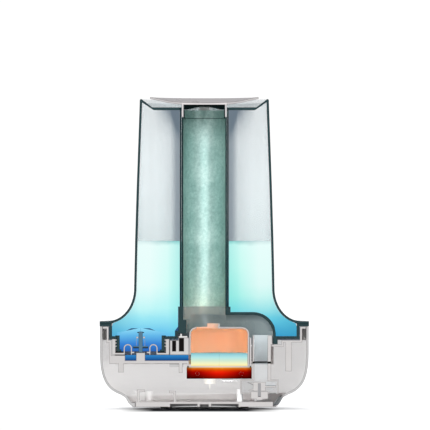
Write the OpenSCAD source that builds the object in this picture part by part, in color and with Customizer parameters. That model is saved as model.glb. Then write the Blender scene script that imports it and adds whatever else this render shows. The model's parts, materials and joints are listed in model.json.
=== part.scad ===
// Tabletop humidifier that boils water and blends the steam with fan-driven room air.
// Frame: millimetres, +Z up, origin on the floor under the axis of the flue.
// -Y is the front with the controls, +X is the side with the fan and its air intake.

/* [Base] */
// Outer radius of the base housing
base_r = 133.5; // [126:1:150]
// Height of the base rim above the floor
base_h = 106.4; // [104:1:118]
// Wall of the base housing
base_wall = 3; // [2.4:0.2:4]
// Radius of the round foot of the base
foot_r = 91; // [84:1:100]
// Height of the foot edge above the floor, which is the free height of the rubber feet
foot_z = 3; // [2:0.5:5]
// Space between the housing wall and the tray skirt
skirt_gap = 5.4; // [3:0.2:8]

/* [Water tray] */
// Depth of the tray deck below the base rim
deck_drop = 17.9; // [16:0.1:20]
// Thickness of the tray deck and its walls
tray_wall = 2.6; // [2:0.2:3.4]
// Height of the water channel
channel_h = 7.5; // [5:0.5:9]
// Width of the water channel
channel_w = 24; // [16:1:30]
// Thickness of the floor under the water channel
sump_floor = 4; // [3:0.5:6]

/* [Tank] */
// Height of the tank from its flange to its rim
tank_h = 291; // [240:1:360]
// Radius of the tank where the wall starts to flare
tank_r = 90; // [84:1:98]
// Radius of the tank at the top
tank_top_r = 82.6; // [74:1:92]
// Wall of the tank
tank_wall = 3; // [2.4:0.2:4]
// Height of the bell-shaped flare above the flange
flare_h = 39; // [30:1:60]
// Depth of the dish in the top of the tank
dish_h = 11; // [6:0.5:20]
// Outer radius of the flue tube
flue_r = 31.2; // [28:0.2:32]
// Wall of the flue tube
flue_wall = 2; // [1.6:0.1:2.4]
// Wall of the sleeve inside the flue tube
sleeve_wall = 1.9; // [1.5:0.1:2.4]

/* [Mist cap] */
// Radius of the mist cap
mist_cap_r = 69.5; // [50:0.5:72]
// Rise of the mist cap from its flat middle to its rim
mist_cap_rise = 9; // [4:0.5:12]
// Height of the gap that the mist leaves through
mist_gap = 3.4; // [2:0.2:8]
// Width of each of the four legs of the mist cap
leg_w = 13; // [8:1:18]

/* [Tank cap and valve] */
// Distance of the tank cap from the axis of the flue
neck_x = 81.5; // [79:0.5:84]
// Outer radius of the tank neck
neck_r = 30.3; // [28:0.1:31]
// Wall of the tank neck
neck_wall = 3.4; // [2.6:0.2:4]
// Wall of the tank cap ring
cap_wall = 4.3; // [3.5:0.1:5]
// Pitch of the thread ridges
thread_pitch = 4; // [3.6:0.2:5]
// Travel of the valve between open and shut
valve_travel = 4; // [3:0.5:5]
// Radius of the hole that the valve shuts
valve_hole_r = 8; // [6:0.5:8.6]
// Radius of the post that holds the valve open
post_r = 5.6; // [4:0.2:7]

/* [Boiler] */
// Distance of the boiler from the axis of the flue
boiler_x = 19.1; // [18:0.1:20]
// Outer radius of the steam hood
hood_r = 38.4; // [36:0.2:38.6]
// Wall of the steam hood
hood_wall = 2; // [1.6:0.2:2.6]
// Height of the steam hood
hood_h = 50; // [44:1:52]
// Radius of the steam opening
steam_r = 13.9; // [10:0.1:16]
// Radius of the heater
heater_r = 41.7; // [41:0.1:42]
// Thickness of the heater plate
heater_plate_t = 4.6; // [3:0.2:5.4]
// Thickness of the heater block
heater_block_t = 7.4; // [6.5:0.1:8]
// Thickness of the heater insulator
insulator_t = 2.6; // [2:0.2:3]

/* [Fan] */
// Distance of the fan from the axis of the flue
fan_x = 70.5; // [70:0.5:73]
// Radius of the fan blades
fan_r = 21.3; // [18:0.1:22]
// Number of fan blades
fan_blades = 9; // [5:1:13]
// Width of the air duct, inside
duct_w = 17.1; // [14:0.1:18]
// Depth of the air duct from front to back, inside
duct_d = 33.6; // [26:0.2:36]

/* [Controls] */
// Width of the recessed control panel
panel_w = 84; // [80:1:96]
// Height of the recessed control panel
panel_h = 40; // [36:1:42]
// Radius of the mist knob
knob_r = 14.5; // [10:0.5:16]
// Radius of the power button
button_r = 7; // [5:0.5:8]
// Travel of the power button
button_travel = 1.5; // [1:0.1:2]
// Distance of the button and of the lights from the knob
control_dx = 30; // [26:1:33]

/* [Clearances] */
// Gap between the seated tank and what it stands on
seat_gap = 0.3; // [0.3:0.1:0.6]
// Gap between pieces that slide past each other
slide_gap = 0.4; // [0.3:0.1:0.6]
// Gap between the tank and the walls that guide it down
drop_gap = 1; // [0.6:0.1:1.4]
// Running clearance of a shaft in its bearing
run_gap = 0.06; // [0.03:0.01:0.1]
// Gap between pieces that are fitted together
fit_gap = 0.05; // [0.02:0.01:0.1]

/* [Hidden] */
$fn = 96;
eps = 0.02;

// Heights of the base, from the floor up
housing_in_r = base_r - base_wall;
tray_r = housing_in_r - skirt_gap;
tray_in_r = tray_r - tray_wall;
deck_z = base_h - deck_drop;
deck_under = deck_z - tray_wall;
floor_z = foot_z + 4;
floor_t = 3;
floor_top = floor_z + floor_t;
plate_r = foot_r - 3;

// Tank heights
flange_z = base_h + seat_gap;
flange_t = 3;
weld_z = flange_z + flange_t;
flange_r = base_r + 0.5;
flange_top = weld_z + 3.3;
rim_z = flange_z + tank_h;
dish_z = rim_z - dish_h;
dish_t = 3.4;
tank_floor_z = deck_z + 2.3;
tank_floor_t = 2.8;
tank_floor_top = tank_floor_z + tank_floor_t;
tank_skirt_r = tray_in_r - drop_gap;
flue_in_r = flue_r - flue_wall;
sleeve_r = flue_in_r - slide_gap + 0.1;
sleeve_in_r = sleeve_r - sleeve_wall;
collar_r = flue_r + 2.1;
collar_z = deck_z + 9;
collar_top = collar_z + 34;
collar_void_r = collar_r + 1.4;
pocket_top = deck_z + 36;

// Tank cap and its pocket
cap_z = deck_z - 18.3;
cap_floor_t = 2.4;
cap_gasket_t = 1.3;
neck_z = cap_z + cap_floor_t + cap_gasket_t + seat_gap;
cap_in_r = neck_r + 2;
cap_r = cap_in_r + cap_wall;
cap_top = tank_floor_z - seat_gap - 0.3;
ridge_w = 1.5;
ridge_t = 1.6;
first_ridge_z = neck_z + 4;
ridges = 3;
pocket_r = cap_r + drop_gap;
pocket_out_r = pocket_r + tray_wall;
shelf_z = cap_z - drop_gap;
sump_z = shelf_z - 6.6;
sump_under = sump_z - sump_floor;
sump_r = 20;
post_top = cap_z + cap_floor_t;
hump_r = 16.4;
hump_w = 5.4;
hump_t = 1.6;
hump_z = cap_z + 8.2;
seat_z = cap_z + 1.8;
seat_t = 2;
seal_t = 1.2;
seal_z = seat_z + seat_t + valve_travel + seat_gap;
plunger_r = valve_hole_r + 1.6;
plunger_t = 1.8;
stem_r = 2.6;
plunger_top = seal_z + seal_t + plunger_t;
guide_z = plunger_top + 9.7;
guide_t = 2.4;
stem_top = guide_z + guide_t + valve_travel + 2.4;

// Boiler
well_r = hood_r + slide_gap;
well_out_r = well_r + 2.5;
well_top = deck_z + 3.4;
well_z = sump_under - 3.2;
gasket_t = 1.4;
heater_top = well_z - gasket_t;
block_top = heater_top - heater_plate_t;
block_z = block_top - heater_block_t;
insulator_z = block_z - insulator_t;
element_r = 28;
element_wire = 2.6;
ear_r = 46;
ear_angles = [50, 130, 230, 310];
hood_z = heater_top + gasket_t + 0.2;
hood_top = hood_z + hood_h;
hood_round = 9;
steam_x = 3.9 - boiler_x;
lip_h = 4.4;

// Air path
shroud_wall = 1.8;
shroud_r = fan_r + 1.4 + shroud_wall;
shroud_z = floor_top + 10;
shroud_top = insulator_z - 1;
duct_x = boiler_x + heater_r + 1.1;
duct_wall = 2;
duct_wall_right = 4.4;
duct_in_x = duct_x + duct_wall;
duct_right = duct_in_x + duct_w + duct_wall_right;
duct_half = duct_d / 2 + duct_wall;
joint_z = sump_z - 3.6;
joint_t = 2.2;
recess_z = deck_z - 5.5;
duct_top = deck_z + 6.4;
collar_wall_x = duct_right + 1.4;
motor_r = 11;
motor_z = floor_top + 3.6;
motor_top = shroud_z + 3;
hub_z = motor_top + 0.7;
hub_r = 8;
hub_h = shroud_top - shroud_wall - 1.4 - hub_z;
shaft_r = 1.5;
fan_screw_angles = [95, 155, 265];
fan_screw_r = shroud_r + 3;
inlet_half = 23;
inlet_x = plate_r - 2;
inlet_out_x = foot_r + 17;
inlet_top = foot_z + 14.5;

// Mixing chamber in the tank floor, over the boiler and the duct
chamber_r = hood_r + 3.8;
chamber_end = collar_wall_x + 1.4;
chamber_half = duct_half + 5.2;
chamber_wall = 3.3;
rib_t = 2.4;
recess_grow = chamber_wall + rib_t + 5;
chamber_round = 26.2;

// Controls
panel_y = sqrt(pow(base_r - 4, 2) - pow(panel_w / 2, 2)) - 2.6;
panel_z = deck_under - 6 - panel_h;
knob_z = panel_z + panel_h / 2;
bezel_t = 1.4;
panel_front = panel_y + bezel_t;
knob_gap = 1;
knob_front = base_r + 0.3;
knob_shaft_r = 3;
button_front = panel_front + 4;
light_r = 2.6;
light_pitch = 10;
board_t = 1.6;
switch_depth = 9;
board_y = panel_y - base_wall - switch_depth - board_t;
board_screw_x = panel_w / 2 - 9;
board_screw_z = panel_h / 2 - 5;

// Cord gland at the back
gland_r = 6;
gland_flange_r = gland_r + 1.6;
gland_z = 44;

// Float in a side well of the water channel
float_x = -36;
float_y = channel_w / 2 + 19;
float_r = 8.6;
float_h = 14;
float_travel = 4;
float_z = sump_z + float_travel + 0.4;
float_well_r = float_r + 1.2;

// Screws and their places
feet_angles = [45, 135, 225, 315];
plate_screw_r = foot_r - 9;
plate_screw_angles = [30, 150, 210, 330];
tray_screw_r = tray_r - 13;
tray_screw_angles = [62, 118, 242, 298];
lug_z = deck_under - 28;
lug_t = 4;
screw_r = 1.6;
head_r = 3.2;
head_t = 2.2;
screw_hole_r = screw_r + fit_gap;

// Mist cap
cap_under = dish_z + mist_gap;
ring_top = dish_z - 3.2;
ring_z = ring_top - 11;
leg_z = ring_z + 2;
leg_r = flue_in_r - slide_gap;
leg_in_r = leg_r - 2.2;
ring_r = leg_in_r - slide_gap;

// Point at t on the cubic curve through the control points c
function curve(c, t) =
    pow(1 - t, 3) * c[0] + 3 * pow(1 - t, 2) * t * c[1] + 3 * (1 - t) * t * t * c[2] + pow(t, 3) * c[3];
// Direction of that curve
function slope(c, t) =
    pow(1 - t, 2) * (c[1] - c[0]) + 2 * (1 - t) * t * (c[2] - c[1]) + t * t * (c[3] - c[2]);
// Point at distance d to the left of the curve
function beside(c, t, d) = curve(c, t) + d * [-slope(c, t)[1], slope(c, t)[0]] / norm(slope(c, t));
function steps(n, last = 1) = [for (i = [0:n]) last * i / n];

// The belly of the base, from the upright wall down to the foot
belly = [[base_r, deck_z - 8], [base_r + 0.5, 48], [base_r - 2.5, 27], [foot_r + 16, foot_z + 16]];
// The bell of the tank, from the upright wall down to the flange
bell = [
    [tank_r, flange_top + flare_h], [tank_r + 1, flange_top + flare_h * 0.51],
    [flange_r - 31, flange_top + 2], [flange_r - 12, flange_top + 0.2]
];

module ring(r, in_r, z, h) {
    translate([0, 0, z]) difference() {
        cylinder(r = r, h = h);
        translate([0, 0, -1]) cylinder(r = in_r, h = h + 2);
    }
}

// A box given by its two corners
module block(a, b) { translate(a) cube(b - a); }

// Copies what follows round the Z axis at radius r
module around(angles, r) { for (a = angles) rotate(a) translate([r, 0, 0]) children(); }

// A pan-head screw that points up, with the underside of its head at the origin
module screw(len) {
    cylinder(r = screw_r, h = len);
    difference() {
        translate([0, 0, -head_t]) cylinder(r = head_r, h = head_t);
        for (a = [0, 90]) rotate(a) translate([-2, -0.4, -head_t - 1]) cube([4, 0.8, 2]);
    }
}

// A box that lies across the front panel, from depth y0 to y1 behind the front
module panel_box(x0, x1, y0, y1, z0, z1) { block([x0, -y1, z0], [x1, -y0, z1]); }

// A cylinder that points out of the front panel, from depth y0 to y1
module panel_pin(x, z, r, y0, y1) {
    translate([x, -y0, z]) rotate([90, 0, 0]) cylinder(r = r, h = y1 - y0);
}

module base_shape(inset) {
    polygon(concat(
        [[0, foot_z + inset + 3], [foot_r - 2.5 - inset, foot_z + inset + 3]],
        inset > 0 ? [[foot_r + 2.6, foot_z + 6]]
            : [[foot_r - 2.5, foot_z], [foot_r, foot_z], [foot_r + 6, foot_z + 5]],
        [[foot_r + 10 - 0.8 * inset, foot_z + 12 + 0.8 * inset]],
        [for (t = steps(12)) beside(belly, 1 - t, -inset)],
        [[base_r - inset, base_h + (inset > 0 ? 1 : 0)], [0, base_h + (inset > 0 ? 1 : 0)]]
    ));
}

module base_housing() {
    color("gainsboro") difference() {
        union() {
            difference() {
                rotate_extrude() base_shape(0);
                rotate_extrude() base_shape(base_wall);
                translate([0, 0, -1]) cylinder(r = foot_r - 2.5, h = floor_top + 4);
            }
            // walls of the recess for the controls
            intersection() {
                rotate_extrude() base_shape(0);
                panel_box(-panel_w / 2 - base_wall, panel_w / 2 + base_wall, panel_y - base_wall,
                    base_r, panel_z - base_wall, panel_z + panel_h + base_wall);
            }
            board_pins(3.2, board_y + board_t, panel_y - base_wall + 1);
            // lugs that take the screws of the bottom plate
            intersection() {
                rotate_extrude() base_shape(0);
                around(plate_screw_angles, plate_screw_r) {
                    translate([0, 0, floor_top]) cylinder(r = 5, h = 12);
                    block([0, -2, floor_top], [24, 2, floor_top + 12]);
                }
            }
            // lugs that the tray is screwed down to
            intersection() {
                rotate_extrude() base_shape(0);
                around(tray_screw_angles, tray_screw_r) {
                    translate([0, 0, lug_z]) cylinder(r = 6, h = lug_t);
                    block([0, -6, lug_z], [30, 6, lug_z + lug_t]);
                }
            }
        }
        panel_box(-panel_w / 2, panel_w / 2, panel_y, base_r + 5, panel_z, panel_z + panel_h);
        panel_pin(0, knob_z, knob_shaft_r + slide_gap, panel_y - base_wall - 1, panel_y + 1);
        panel_pin(control_dx, knob_z, button_r - 2 + slide_gap, panel_y - base_wall - 1, panel_y + 1);
        for (i = [-1:1])
            panel_pin(-control_dx, knob_z + i * light_pitch, light_r - 0.6 + fit_gap,
                panel_y - base_wall - 1, panel_y + 1);
        board_pins(screw_hole_r, board_y + board_t - 1, panel_y - base_wall);
        block([inlet_x, -inlet_half, foot_z + 1.4], [inlet_out_x, inlet_half, inlet_top]);
        around(plate_screw_angles, plate_screw_r)
            translate([0, 0, floor_top - 1]) cylinder(r = screw_hole_r, h = 11);
        around(tray_screw_angles, tray_screw_r)
            translate([0, 0, lug_z - 1]) cylinder(r = screw_hole_r + 0.3, h = lug_t + 2);
        gland_axis() {
            translate([0, 0, -20]) cylinder(r = gland_r + fit_gap, h = 40);
            translate([0, 0, -20]) cylinder(r = gland_flange_r + fit_gap, h = 17 + fit_gap);
        }
    }
}

// Snap hooks moulded on the floor: an upright with an arm
module floor_hook(x, h, arm) {
    block([x, -10, floor_top - eps], [x + 3.2, 10, floor_top + h]);
    block([min(x, x + arm), -10, floor_top + h - 3], [max(x + 3.2, x + arm), 10, floor_top + h]);
}

module bottom_plate() {
    recess_r = 43.7;
    color("gainsboro") difference() {
        union() {
            translate([0, 0, floor_z]) cylinder(r = plate_r, h = floor_t);
            ring(plate_r, plate_r - 2.6, foot_z, floor_z - foot_z);
            ring(recess_r + 2.4, recess_r, foot_z, floor_z - foot_z);
            for (a = [0:30:330]) rotate(a)
                block([recess_r + 1, -1.2, foot_z + 0.4], [plate_r - 1, 1.2, floor_z + eps]);
            around(feet_angles, plate_r - 18) translate([0, 0, foot_z]) cylinder(r = 9, h = floor_z - foot_z);
            plate_holes() translate([0, 0, foot_z + 0.8]) cylinder(r = 5.4, h = floor_z - foot_z);
            translate([0, 0, foot_z + 0.4]) cylinder(r = 9, h = floor_z - foot_z);
            floor_hook(-86, 15.5, 10);
            floor_hook(-39.5, 14, -5.5);
        }
        translate([0, 0, foot_z - 1]) cylinder(r = 5.5, h = 4.6);
        around(feet_angles, plate_r - 18) translate([0, 0, foot_z - 1]) cylinder(r = 3 + fit_gap, h = 4);
        plate_holes() {
            translate([0, 0, foot_z - 1]) cylinder(r = head_r + 0.5, h = floor_z - foot_z + 1);
            translate([0, 0, foot_z]) cylinder(r = screw_hole_r + 0.2, h = 20);
        }
    }
}

// Every place where a screw passes up through the bottom plate
module plate_holes() {
    around(plate_screw_angles, plate_screw_r) children();
    translate([fan_x, 0, 0]) around(fan_screw_angles, fan_screw_r) children();
}

module rubber_feet() {
    color([0.16, 0.16, 0.17]) around(feet_angles, plate_r - 18) {
        cylinder(r1 = 6.6, r2 = 7.4, h = 1);
        translate([0, 0, 1]) cylinder(r = 7.4, h = foot_z - 1);
        cylinder(r = 3, h = foot_z + 2.4);
    }
}

module bottom_screws() {
    color("silver") around(plate_screw_angles, plate_screw_r)
        translate([0, 0, floor_z]) screw(floor_t + 9);
}

// The plan of the raised part of the tray between the tank cap and the boiler
module break_frame() {
    block([-neck_x + pocket_out_r - 1, -14, shelf_z + 0.9], [boiler_x - well_r - 1, 14, deck_z]);
    intersection() {
        block([-collar_r + 0.2, -14, shelf_z + 0.9], [boiler_x - well_r - 1, 14, well_top]);
        cylinder(r = collar_void_r - drop_gap, h = well_top);
    }
}

module break_blocks(grow) {
    more = grow * [1, 1, 1];
    pocket_side = -neck_x + pocket_out_r;
    block([pocket_side + 0.3, -11, cap_z + 4.4] - more, [pocket_side + 5, 11, deck_z - 0.3] + more);
    block([1 - collar_r, -11, cap_z + 4.4] - more,
        [boiler_x - well_out_r - 4, 11, well_top - 0.3] + more);
}

// Recess of the tray round the air duct, which the rib of the tank drops into
module tray_recess(grow, z0, z1) {
    intersection() {
        translate([0, 0, z0]) linear_extrude(height = z1 - z0) chamber_plan(recess_grow + grow);
        block([duct_x - 4 - grow, -100, z0], [200, 100, z1]);
    }
}

module water_tray() {
    color([0.88, 0.88, 0.88]) difference() {
        union() {
            ring(tray_r, tray_in_r, deck_under, base_h - deck_under - 0.4);
            ring(housing_in_r - slide_gap, tray_in_r, base_h - 3, 2.6);
            translate([0, 0, deck_under]) cylinder(r = tray_r, h = tray_wall);
            translate([-neck_x, 0, sump_under]) cylinder(r = pocket_out_r, h = deck_z - sump_under);
            translate([boiler_x, 0, well_z]) cylinder(r = well_out_r, h = well_top - well_z);
            block([-neck_x, -channel_w / 2 - tray_wall, sump_under],
                [boiler_x, channel_w / 2 + tray_wall, shelf_z + 5.3]);
            break_frame();
            tray_recess(tray_wall, recess_z - tray_wall, deck_z);
            // float well and its passage to the channel
            translate([float_x, float_y, sump_under])
                cylinder(r = float_well_r + tray_wall, h = deck_z - sump_under);
            block([float_x - 5, 0, sump_under], [float_x + 5, float_y, shelf_z + 5.3]);
            // bosses for the tray screws and the heater screws
            around(tray_screw_angles, tray_screw_r)
                translate([0, 0, lug_z + lug_t]) cylinder(r = 4.6, h = deck_under - lug_z - lug_t + 1);
            translate([boiler_x, 0, well_z]) around(ear_angles, ear_r) cylinder(r = 5, h = 9);
            // stiffening posts under the tray
            translate([-neck_x - 25, 0, sump_under - 11]) cylinder(r = 3.5, h = 12);
            translate([-30.2, 0, sump_under - 11.6]) cylinder(r = 2.3, h = 12);
            translate([tray_in_r - 14.6, 0, 49]) cylinder(r = 4, h = deck_under - 48);
        }
        difference() {
            union() {
                translate([-neck_x, 0, shelf_z]) cylinder(r = pocket_r, h = 60);
                translate([-neck_x, 0, sump_z]) cylinder(r = sump_r, h = 60);
            }
            translate([-neck_x, 0, 0]) cylinder(r = post_r, h = post_top);
        }
        difference() {
            block([-neck_x, -channel_w / 2, sump_z], [boiler_x - 20, channel_w / 2, sump_z + channel_h]);
            translate([-neck_x, 0, 0]) cylinder(r = post_r, h = post_top);
        }
        translate([boiler_x, 0, well_z - 1]) cylinder(r = well_r, h = 60);
        difference() {
            tray_recess(0, recess_z, deck_z + 10);
            translate([boiler_x, 0, 0]) cylinder(r = well_out_r, h = well_top);
        }
        block([duct_x - slide_gap, -duct_half - slide_gap, recess_z - 10],
            [duct_right + slide_gap, duct_half + slide_gap, recess_z + 10]);
        translate([float_x, float_y, sump_z]) cylinder(r = float_well_r, h = 60);
        block([float_x - 2.5, 0, sump_z], [float_x + 2.5, float_y, sump_z + channel_h]);
        break_blocks(fit_gap);
        around(tray_screw_angles, tray_screw_r)
            translate([0, 0, lug_z]) cylinder(r = screw_hole_r, h = 18);
        translate([boiler_x, 0, well_z - 1]) around(ear_angles, ear_r) cylinder(r = screw_hole_r, h = 9);
    }
}

module tray_screws() {
    color("silver") around(tray_screw_angles, tray_screw_r) translate([0, 0, lug_z]) screw(lug_t + 11);
}

module thermal_breaks() { color([0.13, 0.12, 0.12]) break_blocks(0); }

// Soft seat under the flue collar: a strip with an upturned lip
module chimney_seat() {
    seat_top = collar_z - seat_gap - 0.2;
    color([0.93, 0.93, 0.92]) intersection() {
        union() {
            block([-collar_r + 0.6, -11, well_top], [boiler_x - well_out_r + 0.6, 11, well_top + 2.2]);
            block([-collar_r + 2.4, -11, well_top], [-collar_r + 4.8, 11, seat_top]);
        }
        cylinder(r = collar_void_r - drop_gap - 0.3, h = 200);
    }
}

module boiler_gasket() {
    color([0.2, 0.2, 0.2]) translate([boiler_x, 0, 0])
        ring(well_out_r - 0.2, well_r + 0.1, heater_top, gasket_t);
}

// Round heater layer with four ears
module heater_layer(z, t, ears) {
    translate([boiler_x, 0, z]) difference() {
        union() {
            cylinder(r = heater_r, h = t);
            if (ears) around(ear_angles, ear_r) cylinder(r = 5, h = t);
            if (ears) around(ear_angles, heater_r - 3)
                translate([0, -5, 0]) cube([ear_r - heater_r + 3, 10, t]);
        }
        translate([0, 0, -1]) around(ear_angles, ear_r) cylinder(r = screw_hole_r + 0.2, h = t + 2);
    }
}

module heater_plate() { color([0.9, 0.45, 0.2]) heater_layer(block_top, heater_plate_t, true); }

module heater_block() {
    color([0.75, 0.1, 0.05]) difference() {
        heater_layer(block_z, heater_block_t, false);
        element(element_wire + fit_gap);
    }
}

// The tubular element is cast into the block as a ring
module element(wire) {
    translate([boiler_x, 0, block_z + heater_block_t / 2])
        rotate_extrude() translate([element_r, 0]) circle(r = wire);
}

module heating_element() { color([0.55, 0.2, 0.15]) element(element_wire); }

module heater_insulator() {
    color([0.25, 0.1, 0.08]) heater_layer(insulator_z, insulator_t, false);
}

module heater_screws() {
    color("silver") translate([boiler_x, 0, block_top]) around(ear_angles, ear_r)
        screw(heater_plate_t + gasket_t + 6);
}

module thermostat() {
    color([0.8, 0.78, 0.72]) translate([boiler_x - 12, 14, insulator_z]) {
        translate([0, 0, -7]) cylinder(r = 7.5, h = 7);
        translate([0, 0, -2]) cylinder(r = 9, h = 2);
        for (y = [-4, 4]) translate([-0.4, y - 2.2, -14]) cube([0.8, 4.4, 8]);
    }
}

module thermal_fuse() {
    color([0.75, 0.75, 0.78]) translate([boiler_x + 4, 20, insulator_z - 3.1]) rotate([0, 90, 0]) {
        cylinder(r = 2.6, h = 14);
        translate([0, 0, -6]) cylinder(r = 0.6, h = 26);
    }
}

module steam_hood() {
    color([0.87, 0.86, 0.85]) translate([boiler_x, 0, 0]) difference() {
        union() {
            rotate_extrude() difference() {
                hood_outline(0, hood_z);
                hood_outline(hood_wall, hood_z - 5);
            }
            translate([steam_x, 0, hood_top - hood_wall]) cylinder(r = steam_r + hood_wall, h = hood_wall);
            translate([steam_x, 0, hood_top - hood_wall]) intersection() {
                cylinder(r = steam_r + hood_wall, h = lip_h + hood_wall);
                block([0, -steam_r, 0], [steam_r + 5, steam_r, lip_h + hood_wall]);
            }
        }
        translate([steam_x, 0, hood_top - 8]) cylinder(r = steam_r, h = 20);
        // inlet notch for the water, at the channel
        block([-hood_r - 5, -channel_w / 2 + 1, hood_z - 1], [-20, channel_w / 2 - 1, sump_z + channel_h]);
    }
}

// Half outline of the hood, with its rounded shoulder
module hood_outline(inset, z) {
    r = hood_r - inset;
    top = hood_top - inset;
    round = hood_round - inset;
    polygon(concat(
        [[0, z], [r, z], [r, top - round]],
        [for (a = [10:10:80]) [r - round + round * cos(a), top - round + round * sin(a)]],
        [[r - round, top], [0, top]]
    ));
}

// Rectangular tube along Z
module duct_tube(x0, x1, half, wall_left, wall_right, z0, z1) {
    difference() {
        block([x0, -half, z0], [x1, half, z1]);
        block([x0 + wall_left, -half + duct_wall, z0 - 1], [x1 - wall_right, half - duct_wall, z1 + 1]);
    }
}

module air_duct() {
    color([0.9, 0.9, 0.9]) {
        difference() {
            union() {
                block([duct_x, -duct_half, joint_z + joint_t], [duct_right, duct_half, duct_top]);
                block([duct_x, -duct_half - 3, recess_z + fit_gap],
                    [duct_right + 2, duct_half + 3, recess_z + 2]);
                block([duct_x, -duct_half - 1.6, recess_z + 1], [collar_wall_x, duct_half + 1.6, duct_top]);
            }
            block([duct_in_x, -duct_d / 2, 0], [duct_in_x + duct_w, duct_d / 2, duct_top + 1]);
        }
    }
}

module duct_gasket() {
    color([0.15, 0.15, 0.16])
        duct_tube(duct_x, duct_right, duct_half, duct_wall, duct_wall_right, joint_z, joint_z + joint_t);
}

module fan_housing() {
    color([0.82, 0.82, 0.83]) difference() {
        union() {
            translate([fan_x, 0, 0]) ring(shroud_r, shroud_r - shroud_wall, shroud_z, shroud_top - shroud_z);
            translate([fan_x, 0, shroud_top - shroud_wall]) cylinder(r = shroud_r, h = shroud_wall);
            block([duct_x, -duct_half, shroud_top - shroud_wall], [duct_right, duct_half, joint_z]);
            translate([fan_x, 0, 0]) {
                ring(motor_r + 2, motor_r + fit_gap, shroud_z, 2.4);
                for (a = [60, 180, 300]) rotate(a)
                    block([motor_r + 1, -1.6, shroud_z + 0.3], [shroud_r - 1, 1.6, shroud_z + 2]);
                around(fan_screw_angles, fan_screw_r)
                    translate([0, 0, floor_top]) cylinder(r = 4, h = shroud_z + 6 - floor_top);
            }
        }
        block([duct_in_x, -duct_d / 2, shroud_top - 5], [duct_in_x + duct_w, duct_d / 2, joint_z + 1]);
        translate([fan_x, 0, shroud_z - 1]) cylinder(r = motor_r + fit_gap, h = 10);
        translate([fan_x, 0, floor_top - 1]) around(fan_screw_angles, fan_screw_r)
            cylinder(r = screw_hole_r, h = 11);
    }
}

module fan_motor() {
    color([0.35, 0.36, 0.38]) translate([fan_x, 0, 0]) difference() {
        union() {
            translate([0, 0, motor_z]) cylinder(r = motor_r, h = motor_top - motor_z);
            translate([0, 0, motor_z - 1.6]) cylinder(r = 4, h = 2);
        }
        translate([0, 0, motor_z + 3]) cylinder(r = shaft_r + run_gap, h = 40);
    }
}

module fan_screws() {
    color("silver") translate([fan_x, 0, floor_z]) around(fan_screw_angles, fan_screw_r)
        screw(floor_t + 8);
}

module fan_impeller() {
    color([0.55, 0.6, 0.62]) translate([fan_x, 0, hub_z]) difference() {
        union() {
            cylinder(r = hub_r, h = hub_h);
            intersection() {
                for (i = [0:fan_blades - 1]) rotate(i * 360 / fan_blades)
                    translate([0, 0, hub_h / 2]) rotate([52, 0, 0])
                        translate([hub_r - 1, -hub_h, -0.7]) cube([fan_r, 2 * hub_h, 1.4]);
                translate([0, 0, 0.4]) cylinder(r = fan_r, h = hub_h - 0.8);
            }
        }
        translate([0, 0, -1]) cylinder(r = shaft_r, h = hub_h - 1);
    }
}

module fan_shaft() {
    color("silver") translate([fan_x, 0, motor_z + 3.6])
        cylinder(r = shaft_r, h = hub_z + hub_h - 2 - motor_z - 3.6);
}

module intake_grille() {
    slots = 9;
    pitch = 2 * inlet_half / slots;
    top = inlet_top - foot_z - 0.2;
    color([0.78, 0.78, 0.79]) difference() {
        intersection() {
            translate([0, 0, foot_z]) rotate_extrude() translate([foot_r, 0]) polygon([
                [2.4, 1.6], [5.5, 5.1], [9.6, 12.2], [12.8, top],
                [9.6, top], [7.6, 12.8], [3.4, 5.8], [-0.4, 1.6]
            ]);
            block([0, -inlet_half + 0.2, 0], [inlet_out_x, inlet_half - 0.2, base_h]);
        }
        for (i = [0:slots - 1]) translate([0, (i - (slots - 1) / 2) * pitch, 0])
            block([0, -pitch / 2 + 0.8, foot_z + 3], [inlet_out_x, pitch / 2 - 0.8, inlet_top - 1.8]);
    }
}

module control_bezel() {
    ticks = 9;
    color([0.93, 0.93, 0.92]) difference() {
        union() {
            panel_box(-panel_w / 2 + 0.5, panel_w / 2 - 0.5, panel_y + fit_gap, panel_front,
                panel_z + 0.5, panel_z + panel_h - 0.5);
            for (i = [0:ticks - 1]) translate([0, 0, knob_z]) rotate([0, -120 + i * 240 / (ticks - 1), 0])
                panel_box(-0.6, 0.6, panel_y + 1, panel_front + 0.5, knob_r + 1.4, knob_r + 3.6);
        }
        panel_pin(0, knob_z, knob_shaft_r + slide_gap, panel_y - 1, panel_front + 2);
        panel_pin(control_dx, knob_z, button_r + slide_gap, panel_y - 1, panel_front + 2);
        for (i = [-1:1])
            panel_pin(-control_dx, knob_z + i * light_pitch, light_r + fit_gap, panel_y - 1, panel_front + 2);
    }
}

module mist_knob() {
    grips = 20;
    color([0.32, 0.34, 0.36]) difference() {
        union() {
            panel_pin(0, knob_z, knob_r - 1.2, panel_front + knob_gap, knob_front - 1);
            panel_pin(0, knob_z, knob_r, panel_front + knob_gap, panel_front + knob_gap + 2.4);
            panel_pin(0, knob_z, knob_r - 2.2, knob_front - 2, knob_front);
            for (i = [0:grips - 1]) translate([0, 0, knob_z]) rotate([0, i * 360 / grips, 0])
                panel_pin(0, knob_r - 1.3, 0.8, panel_front + knob_gap + 1, knob_front - 1.6);
        }
        panel_box(-0.9, 0.9, knob_front - 0.9, knob_front + 1, knob_z + 3, knob_z + knob_r + 1);
        panel_pin(0, knob_z, knob_shaft_r, panel_y - 20, knob_front - 4);
    }
}

module knob_shaft() {
    color([0.75, 0.75, 0.76])
        panel_pin(0, knob_z, knob_shaft_r, panel_y - base_wall - switch_depth + 3, knob_front - 4.05);
}

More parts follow.
